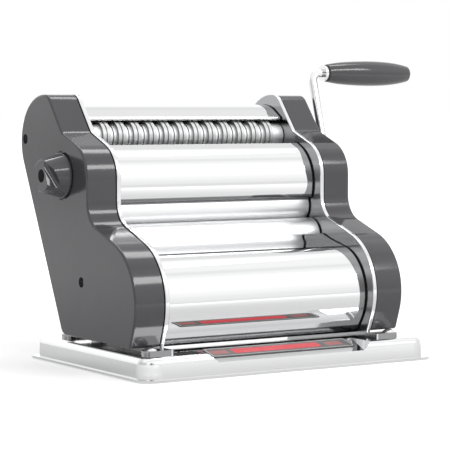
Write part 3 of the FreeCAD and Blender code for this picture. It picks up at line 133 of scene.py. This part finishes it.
def by_angle(tree, angle, stops, lowest):
    # A smooth level for an angle, from a list of degrees and levels.
    share = spread(tree, angle, (-math.pi, math.pi))
    ramp = add(tree, "ShaderNodeValToRGB", {"Fac": share})
    ramp.color_ramp.interpolation = "EASE"
    marks = ramp.color_ramp.elements
    while len(marks) < len(stops):
        marks.new(0.5)
    for mark, (degrees, level) in zip(marks, stops):
        mark.position = (degrees - lowest) / 360
        mark.color = grey(level)
    return ramp.outputs["Color"]


def tent_wall(tree):
    # The tent's brightness in each direction, with the camera's gap.
    way = add(tree, "ShaderNodeTexCoord").outputs["Generated"]
    axes = add(tree, "ShaderNodeSeparateXYZ", {0: way}).outputs
    front = sums(tree, "MULTIPLY", axes["Y"], -1.0)
    rise = sums(tree, "ARCTAN2", axes["Z"], front)
    arch = by_angle(tree, rise, TENT_ARCH, -180)
    end = spread(tree, sums(tree, "ABSOLUTE", axes["X"]), TENT_ENDS_FROM)
    even = mixed(tree, end, arch, grey(TENT_ENDS))
    turn = sums(tree, "ARCTAN2", axes["Y"], axes["X"])
    dim = by_angle(tree, turn, TENT_ROUND, 0)
    high = spread(tree, axes["Z"], TENT_GAP_TOP)
    kept = mixed(tree, high, dim, WHITE)
    return mixed(tree, 1.0, even, kept, "MULTIPLY")


def make_tent():
    world = bpy.data.worlds.new("white_tent")
    scene.world = world
    world.use_nodes = True
    tree = world.node_tree
    tree.nodes.clear()
    path = add(tree, "ShaderNodeLightPath")
    mirror = seen_in_metal(tree, path)
    light = add(tree, "ShaderNodeBackground", {"Color": WHITE, "Strength": TENT_LIGHT})
    wall = add(tree, "ShaderNodeBackground", {"Color": tent_wall(tree),
                                              "Strength": TENT_BRIGHTEST})
    seen = add(tree, "ShaderNodeBackground", {"Color": WHITE, "Strength": TENT_SEEN})
    unseen = add(tree, "ShaderNodeMixShader", {0: mirror, 1: light.outputs[0],
                                               2: wall.outputs[0]})
    pick = add(tree, "ShaderNodeMixShader", {0: path.outputs["Is Camera Ray"],
                                             1: unseen.outputs[0], 2: seen.outputs[0]})
    add(tree, "ShaderNodeOutputWorld", {"Surface": pick.outputs[0]})


def make_soft_box(name, place, aim, size, power, mirrored):
    lamp = bpy.data.lights.new(name, "AREA")
    lamp.shape = "RECTANGLE"
    lamp.size, lamp.size_y = size
    lamp.energy = power
    holder = bpy.data.objects.new(name, lamp)
    scene.collection.objects.link(holder)
    holder.location = place
    holder.rotation_euler = (Vector(aim) - Vector(place)).to_track_quat("-Z", "Y").to_euler()
    holder.visible_glossy = mirrored


def make_camera():
    data = bpy.data.cameras.new("photo_camera")
    data.sensor_width = CAMERA_SENSOR
    data.lens = CAMERA_LENS
    data.clip_end = CAMERA_REACH
    holder = bpy.data.objects.new("photo_camera", data)
    scene.collection.objects.link(holder)
    holder.location = CAMERA_PLACE
    holder.rotation_euler = [math.radians(angle) for angle in CAMERA_TURN]
    scene.camera = holder


make_floor()
make_tent()
for box in SOFT_BOXES:
    make_soft_box(*box)
make_camera()


# Base: one pressed sheet of bright plated steel with a flange all round and a
# sloping seat for the label. It stands on moulded rubber feet.

CHROME = (0.72, 0.722, 0.726, 1)
BASE_GRAIN = 900.0
BASE_ROUGHNESS = 0.045
BASE_WAVE = 0.00025
# Polish of all plated sheet: its lines, how fine they are along X and how much
# they dull and raise the skin, its smears, and its slow wave.
POLISH_LINES = {"Scale": 1.0, "Detail": 3.0, "Roughness": 0.6}
POLISH_LINES_ALONG = 7.0
POLISH_LINES_DULL = 0.03
POLISH_LINES_HEIGHT = 0.004
POLISH_SMEARS = {"Scale": 16.0, "Detail": 4.0, "Roughness": 0.55, "Distortion": 0.4}
POLISH_SMEARS_SPAN = (0.42, 0.75)
POLISH_SMEARS_DULL = 0.05
POLISH_WAVE = {"Scale": 9.0, "Detail": 1.0}
RUBBER = (0.022, 0.022, 0.023, 1)
RUBBER_DUST = (0.075, 0.072, 0.068, 1)
RUBBER_DUST_CLOUDS = {"Scale": 260.0, "Detail": 5.0}
RUBBER_DUST_HEIGHT = (0.0, 0.006)
RUBBER_DUST_LOW = 0.8
RUBBER_DUST_HIGH = 0.15
RUBBER_STIPPLE_SCALE = 1600.0
RUBBER_STIPPLE_DEPTH = 0.00012
RUBBER_ROUGHNESS = 0.82


def start_material(name):
    material = bpy.data.materials.new(name)
    material.use_nodes = True
    tree = material.node_tree
    tree.nodes.clear()
    place = add(tree, "ShaderNodeTexCoord").outputs["Object"]
    return material, tree, place


def finish_material(tree, inputs, height, distance):
    # The shader itself, with a bump from the height.
    bump = add(tree, "ShaderNodeBump", {"Height": height, "Distance": distance,
                                        "Strength": 1.0})
    skin = add(tree, "ShaderNodeBsdfPrincipled", dict(inputs, Normal=bump.outputs["Normal"]))
    add(tree, "ShaderNodeOutputMaterial", {"Surface": skin.outputs[0]})


def dress(material, *names):
    for name in names:
        slots = nodes[name].data.materials
        slots.clear()
        slots.append(material)


def effect(name, inputs, outputs):
    # A node group with named sockets: returns it with its two ends.
    group = bpy.data.node_groups.new(name, "ShaderNodeTree")
    for label, kind in inputs.items():
        group.interface.new_socket(name=label, in_out="INPUT", socket_type="NodeSocket" + kind)
    for label, kind in outputs.items():
        group.interface.new_socket(name=label, in_out="OUTPUT", socket_type="NodeSocket" + kind)
    start = group.nodes.new("NodeGroupInput").outputs
    end = group.nodes.new("NodeGroupOutput").inputs
    return group, start, end


def noise(tree, vector, look):
    return add(tree, "ShaderNodeTexNoise", dict(look, Vector=vector)).outputs["Fac"]


def sheet_polish():
    # Rubbing lines along X, a slow wave and faint smears on plated sheet.
    group, start, end = effect(
        "sheet_polish",
        {"Vector": "Vector", "Grain": "Float", "Roughness": "Float", "Smear": "Float"},
        {"Roughness": "Float", "Lines": "Float", "Wave": "Float"})
    scale = add(group, "ShaderNodeCombineXYZ", {0: POLISH_LINES_ALONG, 1: start["Grain"],
                                                2: start["Grain"]})
    across = add(group, "ShaderNodeVectorMath", {0: start["Vector"], 1: scale.outputs[0]},
                 operation="MULTIPLY")
    lines = noise(group, across.outputs[0], POLISH_LINES)
    smears = noise(group, start["Vector"], POLISH_SMEARS)
    patch = spread(group, smears, POLISH_SMEARS_SPAN)
    rough = sums(group, "MULTIPLY_ADD", patch, start["Smear"], start["Roughness"])
    rough = sums(group, "MULTIPLY_ADD", lines, POLISH_LINES_DULL, rough)
    wave = noise(group, start["Vector"], POLISH_WAVE)
    group.links.new(rough, end["Roughness"])
    group.links.new(lines, end["Lines"])
    group.links.new(wave, end["Wave"])
    return group


POLISH = sheet_polish()


def polished(tree, place, grain, roughness, smear):
    # The polish in a material: its roughness, and the height for its bump.
    polish = add(tree, "ShaderNodeGroup", node_tree=POLISH)
    tree.links.new(place, polish.inputs["Vector"])
    polish.inputs["Grain"].default_value = grain
    polish.inputs["Roughness"].default_value = roughness
    polish.inputs["Smear"].default_value = smear
    height = sums(tree, "MULTIPLY_ADD", polish.outputs["Lines"], POLISH_LINES_HEIGHT,
                  polish.outputs["Wave"])
    return polish.outputs["Roughness"], height


def plated_sheet(name, colour, roughness, grain, wave, smear=POLISH_SMEARS_DULL):
    material, tree, place = start_material(name)
    rough, height = polished(tree, place, grain, roughness, smear)
    finish_material(tree, {"Base Color": colour, "Metallic": 1.0, "Roughness": rough},
                    height, wave)
    return material


def moulded_rubber(name):
    # Matt rubber with a stippled skin, paler with dust towards the table.
    material, tree, place = start_material(name)
    stipple = add(tree, "ShaderNodeTexVoronoi", {"Vector": place, "Scale": RUBBER_STIPPLE_SCALE})
    dust = noise(tree, place, RUBBER_DUST_CLOUDS)
    axes = add(tree, "ShaderNodeSeparateXYZ", {0: place}).outputs
    low = spread(tree, axes["Z"], RUBBER_DUST_HEIGHT, RUBBER_DUST_LOW, RUBBER_DUST_HIGH)
    colour = mixed(tree, sums(tree, "MULTIPLY", dust, low), RUBBER, RUBBER_DUST)
    finish_material(tree, {"Base Color": colour, "Roughness": RUBBER_ROUGHNESS},
                    stipple.outputs["Distance"], RUBBER_STIPPLE_DEPTH)
    return material


dress(plated_sheet("base_plated_steel", CHROME, BASE_ROUGHNESS, BASE_GRAIN, BASE_WAVE), "base")
dress(moulded_rubber("foot_black_rubber"), "base_feet")


# Label: a thin enamelled metal strip on its sloping seat, with a fine bright
# line near its edge and red bars printed on it.

LABEL_LOW, LABEL_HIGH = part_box("label_plate")
LABEL_HALF = (LABEL_HIGH[0] - LABEL_LOW[0]) / 2
LABEL_RUN = LABEL_HIGH[1] - LABEL_LOW[1]
LABEL_MIDDLE = (LABEL_LOW[1] + LABEL_HIGH[1]) / 2
LABEL_GREY = (0.085, 0.083, 0.083, 1)
LABEL_GREY_PALE = (0.13, 0.128, 0.128, 1)
LABEL_CLOUDS = {"Scale": 180.0, "Detail": 4.0}
LABEL_LINE = (0.62, 0.62, 0.62, 1)
LABEL_LINE_INSET = 0.0011
LABEL_LINE_WIDTH = 0.0007
LABEL_RED = (0.80, 0.03, 0.05, 1)
LABEL_PALE_RED = (0.42, 0.12, 0.12, 1)
# Each bar's middle along X, half its length and half its width.
LABEL_MIDDLE_BAR = (-0.0035, 0.0385, 0.0044)
LABEL_SIDE_BARS = [(-0.0535, 0.0072, 0.0034), (0.0480, 0.0072, 0.0034)]
LABEL_CORNER = 0.0012
LABEL_BLUR = 0.0002
LABEL_ROUGHNESS = 0.30
LABEL_SHEEN = 0.22
LABEL_PRINT_HEIGHT = 0.00005


def bar_mask(tree, along, across, middle, half_length, half_width):
    # 1 inside a bar with rounded corners, 0 outside it.
    sides = []
    for value, half in ((sums(tree, "SUBTRACT", along, middle), half_length),
                        (across, half_width)):
        size = sums(tree, "ABSOLUTE", value)
        beyond = sums(tree, "SUBTRACT", size, half - LABEL_CORNER)
        sides.append(sums(tree, "MAXIMUM", beyond, 0.0))
    both = add(tree, "ShaderNodeCombineXYZ", {0: sides[0], 1: sides[1], 2: 0.0})
    reach = add(tree, "ShaderNodeVectorMath", {0: both.outputs[0]}, operation="LENGTH")
    return spread(tree, reach.outputs["Value"],
                  (LABEL_CORNER - LABEL_BLUR, LABEL_CORNER + LABEL_BLUR), 1.0, 0.0)


def frame_mask(tree, along, across, inset):
    return bar_mask(tree, along, across, 0.0, LABEL_HALF - inset, LABEL_RUN / 2 - inset)


def enamel_label(name):
    material, tree, place = start_material(name)
    axes = add(tree, "ShaderNodeSeparateXYZ", {0: place}).outputs
    along = axes["X"]
    across = sums(tree, "SUBTRACT", axes["Y"], LABEL_MIDDLE)
    clouds = noise(tree, place, LABEL_CLOUDS)
    colour = mixed(tree, clouds, LABEL_GREY, LABEL_GREY_PALE)
    line = sums(tree, "SUBTRACT", frame_mask(tree, along, across, LABEL_LINE_INSET),
                frame_mask(tree, along, across, LABEL_LINE_INSET + LABEL_LINE_WIDTH))
    colour = mixed(tree, line, colour, LABEL_LINE)
    for bar in LABEL_SIDE_BARS:
        colour = mixed(tree, bar_mask(tree, along, across, *bar), colour, LABEL_PALE_RED)
    red = bar_mask(tree, along, across, *LABEL_MIDDLE_BAR)
    colour = mixed(tree, red, colour, LABEL_RED)
    finish_material(tree, {"Base Color": colour, "Roughness": LABEL_ROUGHNESS,
                           "Specular IOR Level": LABEL_SHEEN}, red, LABEL_PRINT_HEIGHT)
    return material


dress(enamel_label("label_enamel"), "label_plate")


# Side plates: blanked from thick plated steel, with rounded rims and short
# tongues that dome headed bolts hold down on the base.

PLATE_GRAIN = 1500.0
PLATE_WAVE = 0.00012
PLATE_SMEAR = 0.06
# Painted shade for the plates' inner faces.
PLATE_FACE_PAINTED_SHADE = (0.36, 0.363, 0.37, 1)
PLATE_FACE_EDGE = (0.00004, 0.0003)
PLATE_RIM_ROUGHNESS = 0.05
PLATE_FACE_ROUGHNESS = 0.16
# Painted shade on the tongues under the housings, and the box where it lies.
PLATE_TONGUE_PAINTED_SHADE = (0.32, 0.32, 0.325, 1)
PLATE_TONGUE_TOP = 0.0225
PLATE_TONGUE_OUT = 0.0016
BOLT_ROUGHNESS = 0.06
BOLT_WAVE = 0.00006


def side_plate_steel(name):
    # Polished rims between two rougher faces left as the sheet was rolled, with painted shade on
    # the inner faces, and painted shade on the tongues, which lie in shadow under the housings.
    material, tree, place = start_material(name)
    inner_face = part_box("right_side_plate")[0][0]
    rough, height = polished(tree, place, PLATE_GRAIN, 0.0, PLATE_SMEAR)
    axes = add(tree, "ShaderNodeSeparateXYZ", {0: place}).outputs
    side = sums(tree, "ABSOLUTE", axes["X"])
    face_shade_and_finish = spread(tree, side, [inner_face + edge for edge in PLATE_FACE_EDGE], 1.0, 0.0)
    finish = spread(tree, face_shade_and_finish, (0.0, 1.0), PLATE_RIM_ROUGHNESS, PLATE_FACE_ROUGHNESS)
    outer = sums(tree, "GREATER_THAN", side, inner_face + PLATE_TONGUE_OUT)
    under = sums(tree, "LESS_THAN", axes["Z"], PLATE_TONGUE_TOP)
    # Painted shade on the inner faces, darker than the rims.
    colour = mixed(tree, face_shade_and_finish, CHROME, PLATE_FACE_PAINTED_SHADE)
    # Painted shade on the tongues, which lie under the housings.
    colour = mixed(tree, sums(tree, "MULTIPLY", outer, under), colour, PLATE_TONGUE_PAINTED_SHADE)
    finish_material(tree, {"Base Color": colour, "Metallic": 1.0,
                           "Roughness": sums(tree, "ADD", rough, finish)}, height, PLATE_WAVE)
    return material


dress(side_plate_steel("plate_plated_steel"), "left_side_plate", "right_side_plate")
dress(plated_sheet("bolt_plated_steel", CHROME, BOLT_ROUGHNESS, PLATE_GRAIN, BOLT_WAVE),
      "foot_bolts")


# Covers: thin polished sheet bent round the rollers, with hems for lips and
# tabs that sit in slots of the side plates.

COVER_ROUGHNESS = 0.035
COVER_GRAIN = 1200.0
COVER_WAVE = 0.00015
# Painted shadow of the gap at the sheet's ends by the plates: its colour, width, blur and dulling.
COVER_GAP_SHADOW = (0.03, 0.03, 0.03, 1)
COVER_GAP_SHADOW_WIDTH = 0.0013
COVER_GAP_SHADOW_BLUR = 0.0003
COVER_GAP_SHADOW_DULL = 0.5
# Painted shade below the hems: grey on the middle cover's hem, darker on the underside of the
# front cover's lip.
COVER_HEM_SHADE = (0.20, 0.20, 0.205, 1)
COVER_HEM_DEEP_SHADE = (0.07, 0.07, 0.072, 1)
COVER_HEM_BLUR = 0.0004
MIDDLE_COVER_SHADE_TOP = 0.1240
FRONT_COVER_SHADE_TOP = 0.0248


def cover_sheet(name, hem_shade_top=None, hem_shade=COVER_HEM_SHADE):
    # Polished sheet, with a painted shadow of the gap along its ends at the plates, and painted
    # shade below the height of its hem where that shows.
    material, tree, place = start_material(name)
    inner_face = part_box("right_side_plate")[0][0]
    rough, height = polished(tree, place, COVER_GRAIN, COVER_ROUGHNESS, POLISH_SMEARS_DULL)
    axes = add(tree, "ShaderNodeSeparateXYZ", {0: place}).outputs
    cut = inner_face - COVER_GAP_SHADOW_WIDTH
    # Painted shadow: the sheet's ends darken where the gap to the plates shades them.
    edge = spread(tree, sums(tree, "ABSOLUTE", axes["X"]), (cut - COVER_GAP_SHADOW_BLUR, cut))
    colour = CHROME
    if hem_shade_top is not None:
        # Painted shade below the hem's top, where the sheet's underside and the gap beneath it lie
        # in shadow.
        hem = spread(tree, axes["Z"], (hem_shade_top - COVER_HEM_BLUR, hem_shade_top + COVER_HEM_BLUR),
                     1.0, 0.0)
        colour = mixed(tree, hem, CHROME, hem_shade)
    colour = mixed(tree, edge, colour, COVER_GAP_SHADOW)
    rough = sums(tree, "MULTIPLY_ADD", edge, COVER_GAP_SHADOW_DULL, rough)
    finish_material(tree, {"Base Color": colour, "Metallic": 1.0, "Roughness": rough},
                    height, COVER_WAVE)
    return material


dress(cover_sheet("cover_polished_sheet"), "top_cover", "rear_cover", "delivery_chute")
dress(cover_sheet("middle_cover_polished_sheet", MIDDLE_COVER_SHADE_TOP), "middle_cover")
dress(cover_sheet("front_cover_polished_sheet", FRONT_COVER_SHADE_TOP, COVER_HEM_DEEP_SHADE),
      "front_cover")


# Housings: glossy dark grey mouldings that close the ends of the machine over
# its gears, each held by long screws in deep recesses.

HOUSING_GREY = (0.062, 0.061, 0.069, 1)
HOUSING_GREY_PALE = (0.068, 0.067, 0.075, 1)
HOUSING_ROUGHNESS = 0.11
HOUSING_PEEL = 0.000012
# Skin of all moulded plastic: its flow clouds, hair scratches and orange peel.
SKIN_FLOW = {"Scale": 28.0, "Detail": 5.0, "Distortion": 0.8}
SKIN_FLOW_SPAN = (0.35, 0.7)
SKIN_FLOW_DULL = 0.03
SKIN_HAIRS = {"Scale": 1.0, "Detail": 2.0}
SKIN_HAIRS_TURN = (0.9, 0.3, 0.5)
SKIN_HAIRS_STRETCH = (30.0, 2600.0, 30.0)
SKIN_HAIRS_SPAN = (0.70, 0.80)
SKIN_HAIRS_DULL = 0.10
SKIN_PEEL = {"Scale": 420.0, "Detail": 2.0}
SCREW_DARK = (0.30, 0.30, 0.31, 1)
SCREW_PALE = (0.55, 0.55, 0.55, 1)
SCREW_BLOOM = {"Scale": 700.0, "Detail": 4.0}
SCREW_BLOOM_DEPTH = 0.00004
SCREW_METALLIC = 0.85
SCREW_ROUGHNESS = 0.34


def moulded_skin():
    # Flow clouds, a faint orange peel and hair scratches of moulded plastic.
    group, start, end = effect(
        "moulded_skin",
        {"Vector": "Vector", "Shade": "Color", "Pale": "Color", "Roughness": "Float"},
        {"Color": "Color", "Roughness": "Float", "Height": "Float"})
    flow = noise(group, start["Vector"], SKIN_FLOW)
    tone = spread(group, flow, SKIN_FLOW_SPAN)
    turned = add(group, "ShaderNodeMapping", {"Vector": start["Vector"],
                                              "Rotation": SKIN_HAIRS_TURN,
                                              "Scale": SKIN_HAIRS_STRETCH})
    hairs = noise(group, turned.outputs[0], SKIN_HAIRS)
    scratch = spread(group, hairs, SKIN_HAIRS_SPAN, 0.0, SKIN_HAIRS_DULL)
    rough = sums(group, "MULTIPLY_ADD", tone, SKIN_FLOW_DULL, start["Roughness"])
    group.links.new(mixed(group, tone, start["Shade"], start["Pale"]), end["Color"])
    group.links.new(sums(group, "ADD", rough, scratch), end["Roughness"])
    group.links.new(noise(group, start["Vector"], SKIN_PEEL), end["Height"])
    return group


MOULDED_SKIN = moulded_skin()


def moulded_plastic(name, shade, pale, roughness, peel):
    material, tree, place = start_material(name)
    skin = add(tree, "ShaderNodeGroup", node_tree=MOULDED_SKIN)
    tree.links.new(place, skin.inputs["Vector"])
    skin.inputs["Shade"].default_value = shade
    skin.inputs["Pale"].default_value = pale
    skin.inputs["Roughness"].default_value = roughness
    finish_material(tree, {"Base Color": skin.outputs["Color"],
                           "Roughness": skin.outputs["Roughness"]}, skin.outputs["Height"], peel)
    return material


def blackened_steel(name):
    material, tree, place = start_material(name)
    bloom = noise(tree, place, SCREW_BLOOM)
    finish_material(tree, {"Base Color": mixed(tree, bloom, SCREW_DARK, SCREW_PALE),
                           "Metallic": SCREW_METALLIC, "Roughness": SCREW_ROUGHNESS},
                    bloom, SCREW_BLOOM_DEPTH)
    return material


dress(moulded_plastic("housing_grey_plastic", HOUSING_GREY, HOUSING_GREY_PALE,
                      HOUSING_ROUGHNESS, HOUSING_PEEL), "left_housing", "right_housing")
BLACKENED = blackened_steel("screw_blackened_steel")
dress(BLACKENED, "housing_screws")


# Smooth rollers: solid bars turned between centres and left satin, so each
# carries fine rings round its axis.

ROLLER_METAL = (0.76, 0.763, 0.768, 1)
ROLLER_ROUGHNESS = 0.34
ROLLER_RINGS = 2200.0
ROLLER_RING_DEPTH = 0.000004
# Rings on all turned metal, the slower drift in how deep they are, and how much
# each of them dulls it.
RINGS = {"Scale": 1.0, "Detail": 2.0}
RINGS_DULL = 0.05
RINGS_DRIFT = {"Scale": 35.0, "Detail": 3.0}
RINGS_DRIFT_DULL = 0.08


def turned_rings():
    # Tool rings round the X axis, with a slower drift in how deep they are.
    group, start, end = effect(
        "turned_rings",
        {"Vector": "Vector", "Rings": "Float", "Roughness": "Float"},
        {"Roughness": "Float", "Height": "Float"})
    axes = add(group, "ShaderNodeSeparateXYZ", {0: start["Vector"]}).outputs
    along = sums(group, "MULTIPLY", axes["X"], start["Rings"])
    rings = add(group, "ShaderNodeTexNoise", dict(RINGS, W=along),
                noise_dimensions="1D").outputs["Fac"]
    drift = noise(group, start["Vector"], RINGS_DRIFT)
    rough = sums(group, "MULTIPLY_ADD", drift, RINGS_DRIFT_DULL, start["Roughness"])
    group.links.new(sums(group, "MULTIPLY_ADD", rings, RINGS_DULL, rough), end["Roughness"])
    group.links.new(rings, end["Height"])
    return group


TURNED_RINGS = turned_rings()


def finish_turned(tree, place, colour, roughness, depth):
    # The rings in a material, and the shader with them.
    lathe = add(tree, "ShaderNodeGroup", node_tree=TURNED_RINGS)
    tree.links.new(place, lathe.inputs["Vector"])
    lathe.inputs["Rings"].default_value = ROLLER_RINGS
    lathe.inputs["Roughness"].default_value = roughness
    finish_material(tree, {"Base Color": colour, "Metallic": 1.0,
                           "Roughness": lathe.outputs["Roughness"]},
                    lathe.outputs["Height"], depth)


def turned_metal(name, colour, roughness, depth):
    material, tree, place = start_material(name)
    finish_turned(tree, place, colour, roughness, depth)
    return material


dress(turned_metal("smooth_roller_metal", ROLLER_METAL, ROLLER_ROUGHNESS, ROLLER_RING_DEPTH),
      "fixed_roller", "adjustable_roller")


# Cutting rollers: turned steel with square grooves between the discs, with painted light on the
# grooves' floors and painted shade in the scored lines and on the discs' walls.

# The lands' colour, painted light for the grooves' floors, and painted shade for the scores and
# walls.
CUTTER_LAND = (0.50, 0.502, 0.508, 1)
CUTTER_GROOVE_PAINTED_LIGHT = (0.74, 0.742, 0.747, 1)
CUTTER_PAINTED_SHADE = (0.34, 0.34, 0.342, 1)
CUTTER_ROUGHNESS = 0.50
CUTTER_RING_DEPTH = 0.000006
CUTTER_EDGE_BAND = 0.00012
WIDE_GROOVE_DEPTH = 0.0024


def step_mask(tree, value, edge):
    # 1 above the edge, 0 below it.
    return spread(tree, value, (edge - CUTTER_EDGE_BAND, edge))


def cutter_steel(name, node):
    # Each step of the cutter has its own tone, by its distance from the axis: painted light on the
    # grooves' floors, painted shade on the scores and walls.
    material, tree, place = start_material(name)
    low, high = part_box(node)
    radius = (high[2] - low[2]) / 2
    axis = (0, (low[1] + high[1]) / 2, (low[2] + high[2]) / 2)
    away = add(tree, "ShaderNodeVectorMath", {0: place, 1: axis}, operation="SUBTRACT")
    flat = add(tree, "ShaderNodeVectorMath", {0: away.outputs[0], 1: (0, 1, 1)},
               operation="MULTIPLY")
    reach = add(tree, "ShaderNodeVectorMath", {0: flat.outputs[0]}, operation="LENGTH")
    reach = reach.outputs["Value"]
    groove = radius - WIDE_GROOVE_DEPTH
    # Painted shade on the scored lines and the discs' walls, painted light on the grooves' floors.
    colour = mixed(tree, step_mask(tree, reach, groove), CUTTER_PAINTED_SHADE, CUTTER_GROOVE_PAINTED_LIGHT)
    colour = mixed(tree, step_mask(tree, reach, groove + 2 * CUTTER_EDGE_BAND), colour,
                   CUTTER_PAINTED_SHADE)
    colour = mixed(tree, step_mask(tree, reach, radius), colour, CUTTER_LAND)
    finish_turned(tree, place, colour, CUTTER_ROUGHNESS, CUTTER_RING_DEPTH)
    return material


for cutter in ("wide_cutter_lower", "wide_cutter_upper"):
    dress(cutter_steel(cutter + "_steel", cutter), cutter)
dress(turned_metal("thin_cutter_steel", CUTTER_LAND, CUTTER_ROUGHNESS, CUTTER_RING_DEPTH),
      "thin_cutter_upper", "thin_cutter_lower")


# Combs and scraper: spring sheet cut to fingers or left plain, whose edges lie
# against the rollers.

SPRING_SHEET = (0.66, 0.67, 0.68, 1)
SPRING_ROUGHNESS = 0.16
SPRING_GRAIN = 1800.0
SPRING_WAVE = 0.00008
SPRING_SMEAR = 0.12

dress(plated_sheet("comb_spring_sheet", SPRING_SHEET, SPRING_ROUGHNESS, SPRING_GRAIN,
                   SPRING_WAVE, SPRING_SMEAR),
      "wide_comb_lower", "wide_comb_upper", "thin_comb_upper", "thin_comb_lower",
      "roller_scraper")


# Gears and adjustment parts: cut steel under a film of oil, darker where the
# oil gathers.

GEAR_STEEL = (0.50, 0.50, 0.51, 1)
GEAR_OIL = (0.16, 0.14, 0.11, 1)
GEAR_METALLIC = 0.9
GEAR_FILM = {"Scale": 120.0, "Detail": 6.0, "Distortion": 1.2}
GEAR_FILM_SPAN = (0.45, 0.75)
GEAR_FILM_SHARE = 0.8
GEAR_FILM_ROUGH_SPAN = (0.4, 0.7)
GEAR_DRY_ROUGHNESS = 0.36
GEAR_WET_ROUGHNESS = 0.14
GEAR_HOBBING = {"Scale": 900.0, "Distortion": 2.0}
GEAR_HOBBING_DEPTH = 0.00002


def oiled_steel(name):
    material, tree, place = start_material(name)
    film = noise(tree, place, GEAR_FILM)
    share = spread(tree, film, GEAR_FILM_SPAN, 0.0, GEAR_FILM_SHARE)
    rough = spread(tree, film, GEAR_FILM_ROUGH_SPAN, GEAR_DRY_ROUGHNESS, GEAR_WET_ROUGHNESS)
    hobbing = add(tree, "ShaderNodeTexWave", dict(GEAR_HOBBING, Vector=place),
                  bands_direction="X")
    finish_material(tree, {"Base Color": mixed(tree, share, GEAR_STEEL, GEAR_OIL),
                           "Metallic": GEAR_METALLIC, "Roughness": rough},
                    hobbing.outputs["Fac"], GEAR_HOBBING_DEPTH)
    return material


dress(oiled_steel("gear_oiled_steel"),
      "crank_gear", "fixed_roller_drive_gear", "fixed_roller_gear", "adjustable_roller_gear",
      "wide_gear_lower", "wide_gear_upper", "transfer_gear_front", "transfer_gear_rear",
      "thin_gear_upper", "thin_gear_lower", "scroll_cam", "left_swing_arm", "right_swing_arm",
      "swing_pivot_shaft", "follower_pin")


# Tie rods, screws, nuts and the bracket: zinc plated steel with the faint
# rainbow bloom of its passivation.

ZINC = (0.60, 0.61, 0.62, 1)
ZINC_GOLD = (0.62, 0.58, 0.46, 1)
ZINC_BLOOM = {"Scale": 90.0, "Detail": 3.0, "Distortion": 1.5}
ZINC_BLOOM_SPAN = (0.5, 0.8)
ZINC_BLOOM_SHARE = 0.55
ZINC_SMOOTH = 0.24
ZINC_ROUGH = 0.34
ZINC_GRAIN_SCALE = 2600.0
ZINC_GRAIN_DEPTH = 0.00002


def zinc_plate(name):
    material, tree, place = start_material(name)
    bloom = noise(tree, place, ZINC_BLOOM)
    share = spread(tree, bloom, ZINC_BLOOM_SPAN, 0.0, ZINC_BLOOM_SHARE)
    grains = add(tree, "ShaderNodeTexVoronoi", {"Vector": place, "Scale": ZINC_GRAIN_SCALE})
    rough = spread(tree, bloom, (0.0, 1.0), ZINC_SMOOTH, ZINC_ROUGH)
    finish_material(tree, {"Base Color": mixed(tree, share, ZINC, ZINC_GOLD),
                           "Metallic": 1.0, "Roughness": rough},
                    grains.outputs["Distance"], ZINC_GRAIN_DEPTH)
    return material


dress(zinc_plate("zinc_plated_steel"),
      "tie_rods", "tie_rod_screws", "foot_nuts", "regulator_bracket", "bracket_screws",
      "knob_shaft")


# Bushes: sintered bronze rings, pressed into the plates, the arms and the
# right housing.

BRONZE = (0.58, 0.38, 0.17, 1)
BRONZE_DARK = (0.30, 0.19, 0.09, 1)
BRONZE_ROUGHNESS = 0.34
BRONZE_PORE_SCALE = 2400.0
BRONZE_PORE_SPAN = (0.1, 0.35)
BRONZE_PORE_DEPTH = 0.00003


def sintered_bronze(name):
    material, tree, place = start_material(name)
    pores = add(tree, "ShaderNodeTexVoronoi", {"Vector": place, "Scale": BRONZE_PORE_SCALE})
    pits = spread(tree, pores.outputs["Distance"], BRONZE_PORE_SPAN, 1.0, 0.0)
    finish_material(tree, {"Base Color": mixed(tree, pits, BRONZE, BRONZE_DARK),
                           "Metallic": 1.0, "Roughness": BRONZE_ROUGHNESS},
                    pits, -BRONZE_PORE_DEPTH)
    return material


dress(sintered_bronze("bush_sintered_bronze"), "plate_bushes", "swing_bushes", "crank_bush")


# Thickness knob: a moulded cone with two finger scoops, which a screw in a
# deep recess holds on its shaft.

KNOB_GREY = (0.074, 0.073, 0.081, 1)
KNOB_GREY_PALE = (0.084, 0.083, 0.089, 1)
KNOB_ROUGHNESS = 0.065
KNOB_PEEL = 0.00001

dress(moulded_plastic("knob_grey_plastic", KNOB_GREY, KNOB_GREY_PALE, KNOB_ROUGHNESS, KNOB_PEEL),
      "regulator_knob")
dress(BLACKENED, "knob_screw")


# Crank: one bent rod of plated steel with a ferrule and a rivet, on which a
# glossy barrel grip turns.

ROD_ROUGHNESS = 0.05
ROD_WAVE = 0.00005
GRIP_GREY = (0.066, 0.065, 0.070, 1)
GRIP_GREY_PALE = (0.074, 0.073, 0.078, 1)
GRIP_ROUGHNESS = 0.10
GRIP_PEEL = 0.00001

dress(plated_sheet("crank_plated_rod", CHROME, ROD_ROUGHNESS, PLATE_GRAIN, ROD_WAVE),
      "crank_arm", "grip_ferrule", "grip_rivet")
dress(moulded_plastic("grip_grey_plastic", GRIP_GREY, GRIP_GREY_PALE, GRIP_ROUGHNESS, GRIP_PEEL),
      "crank_grip")
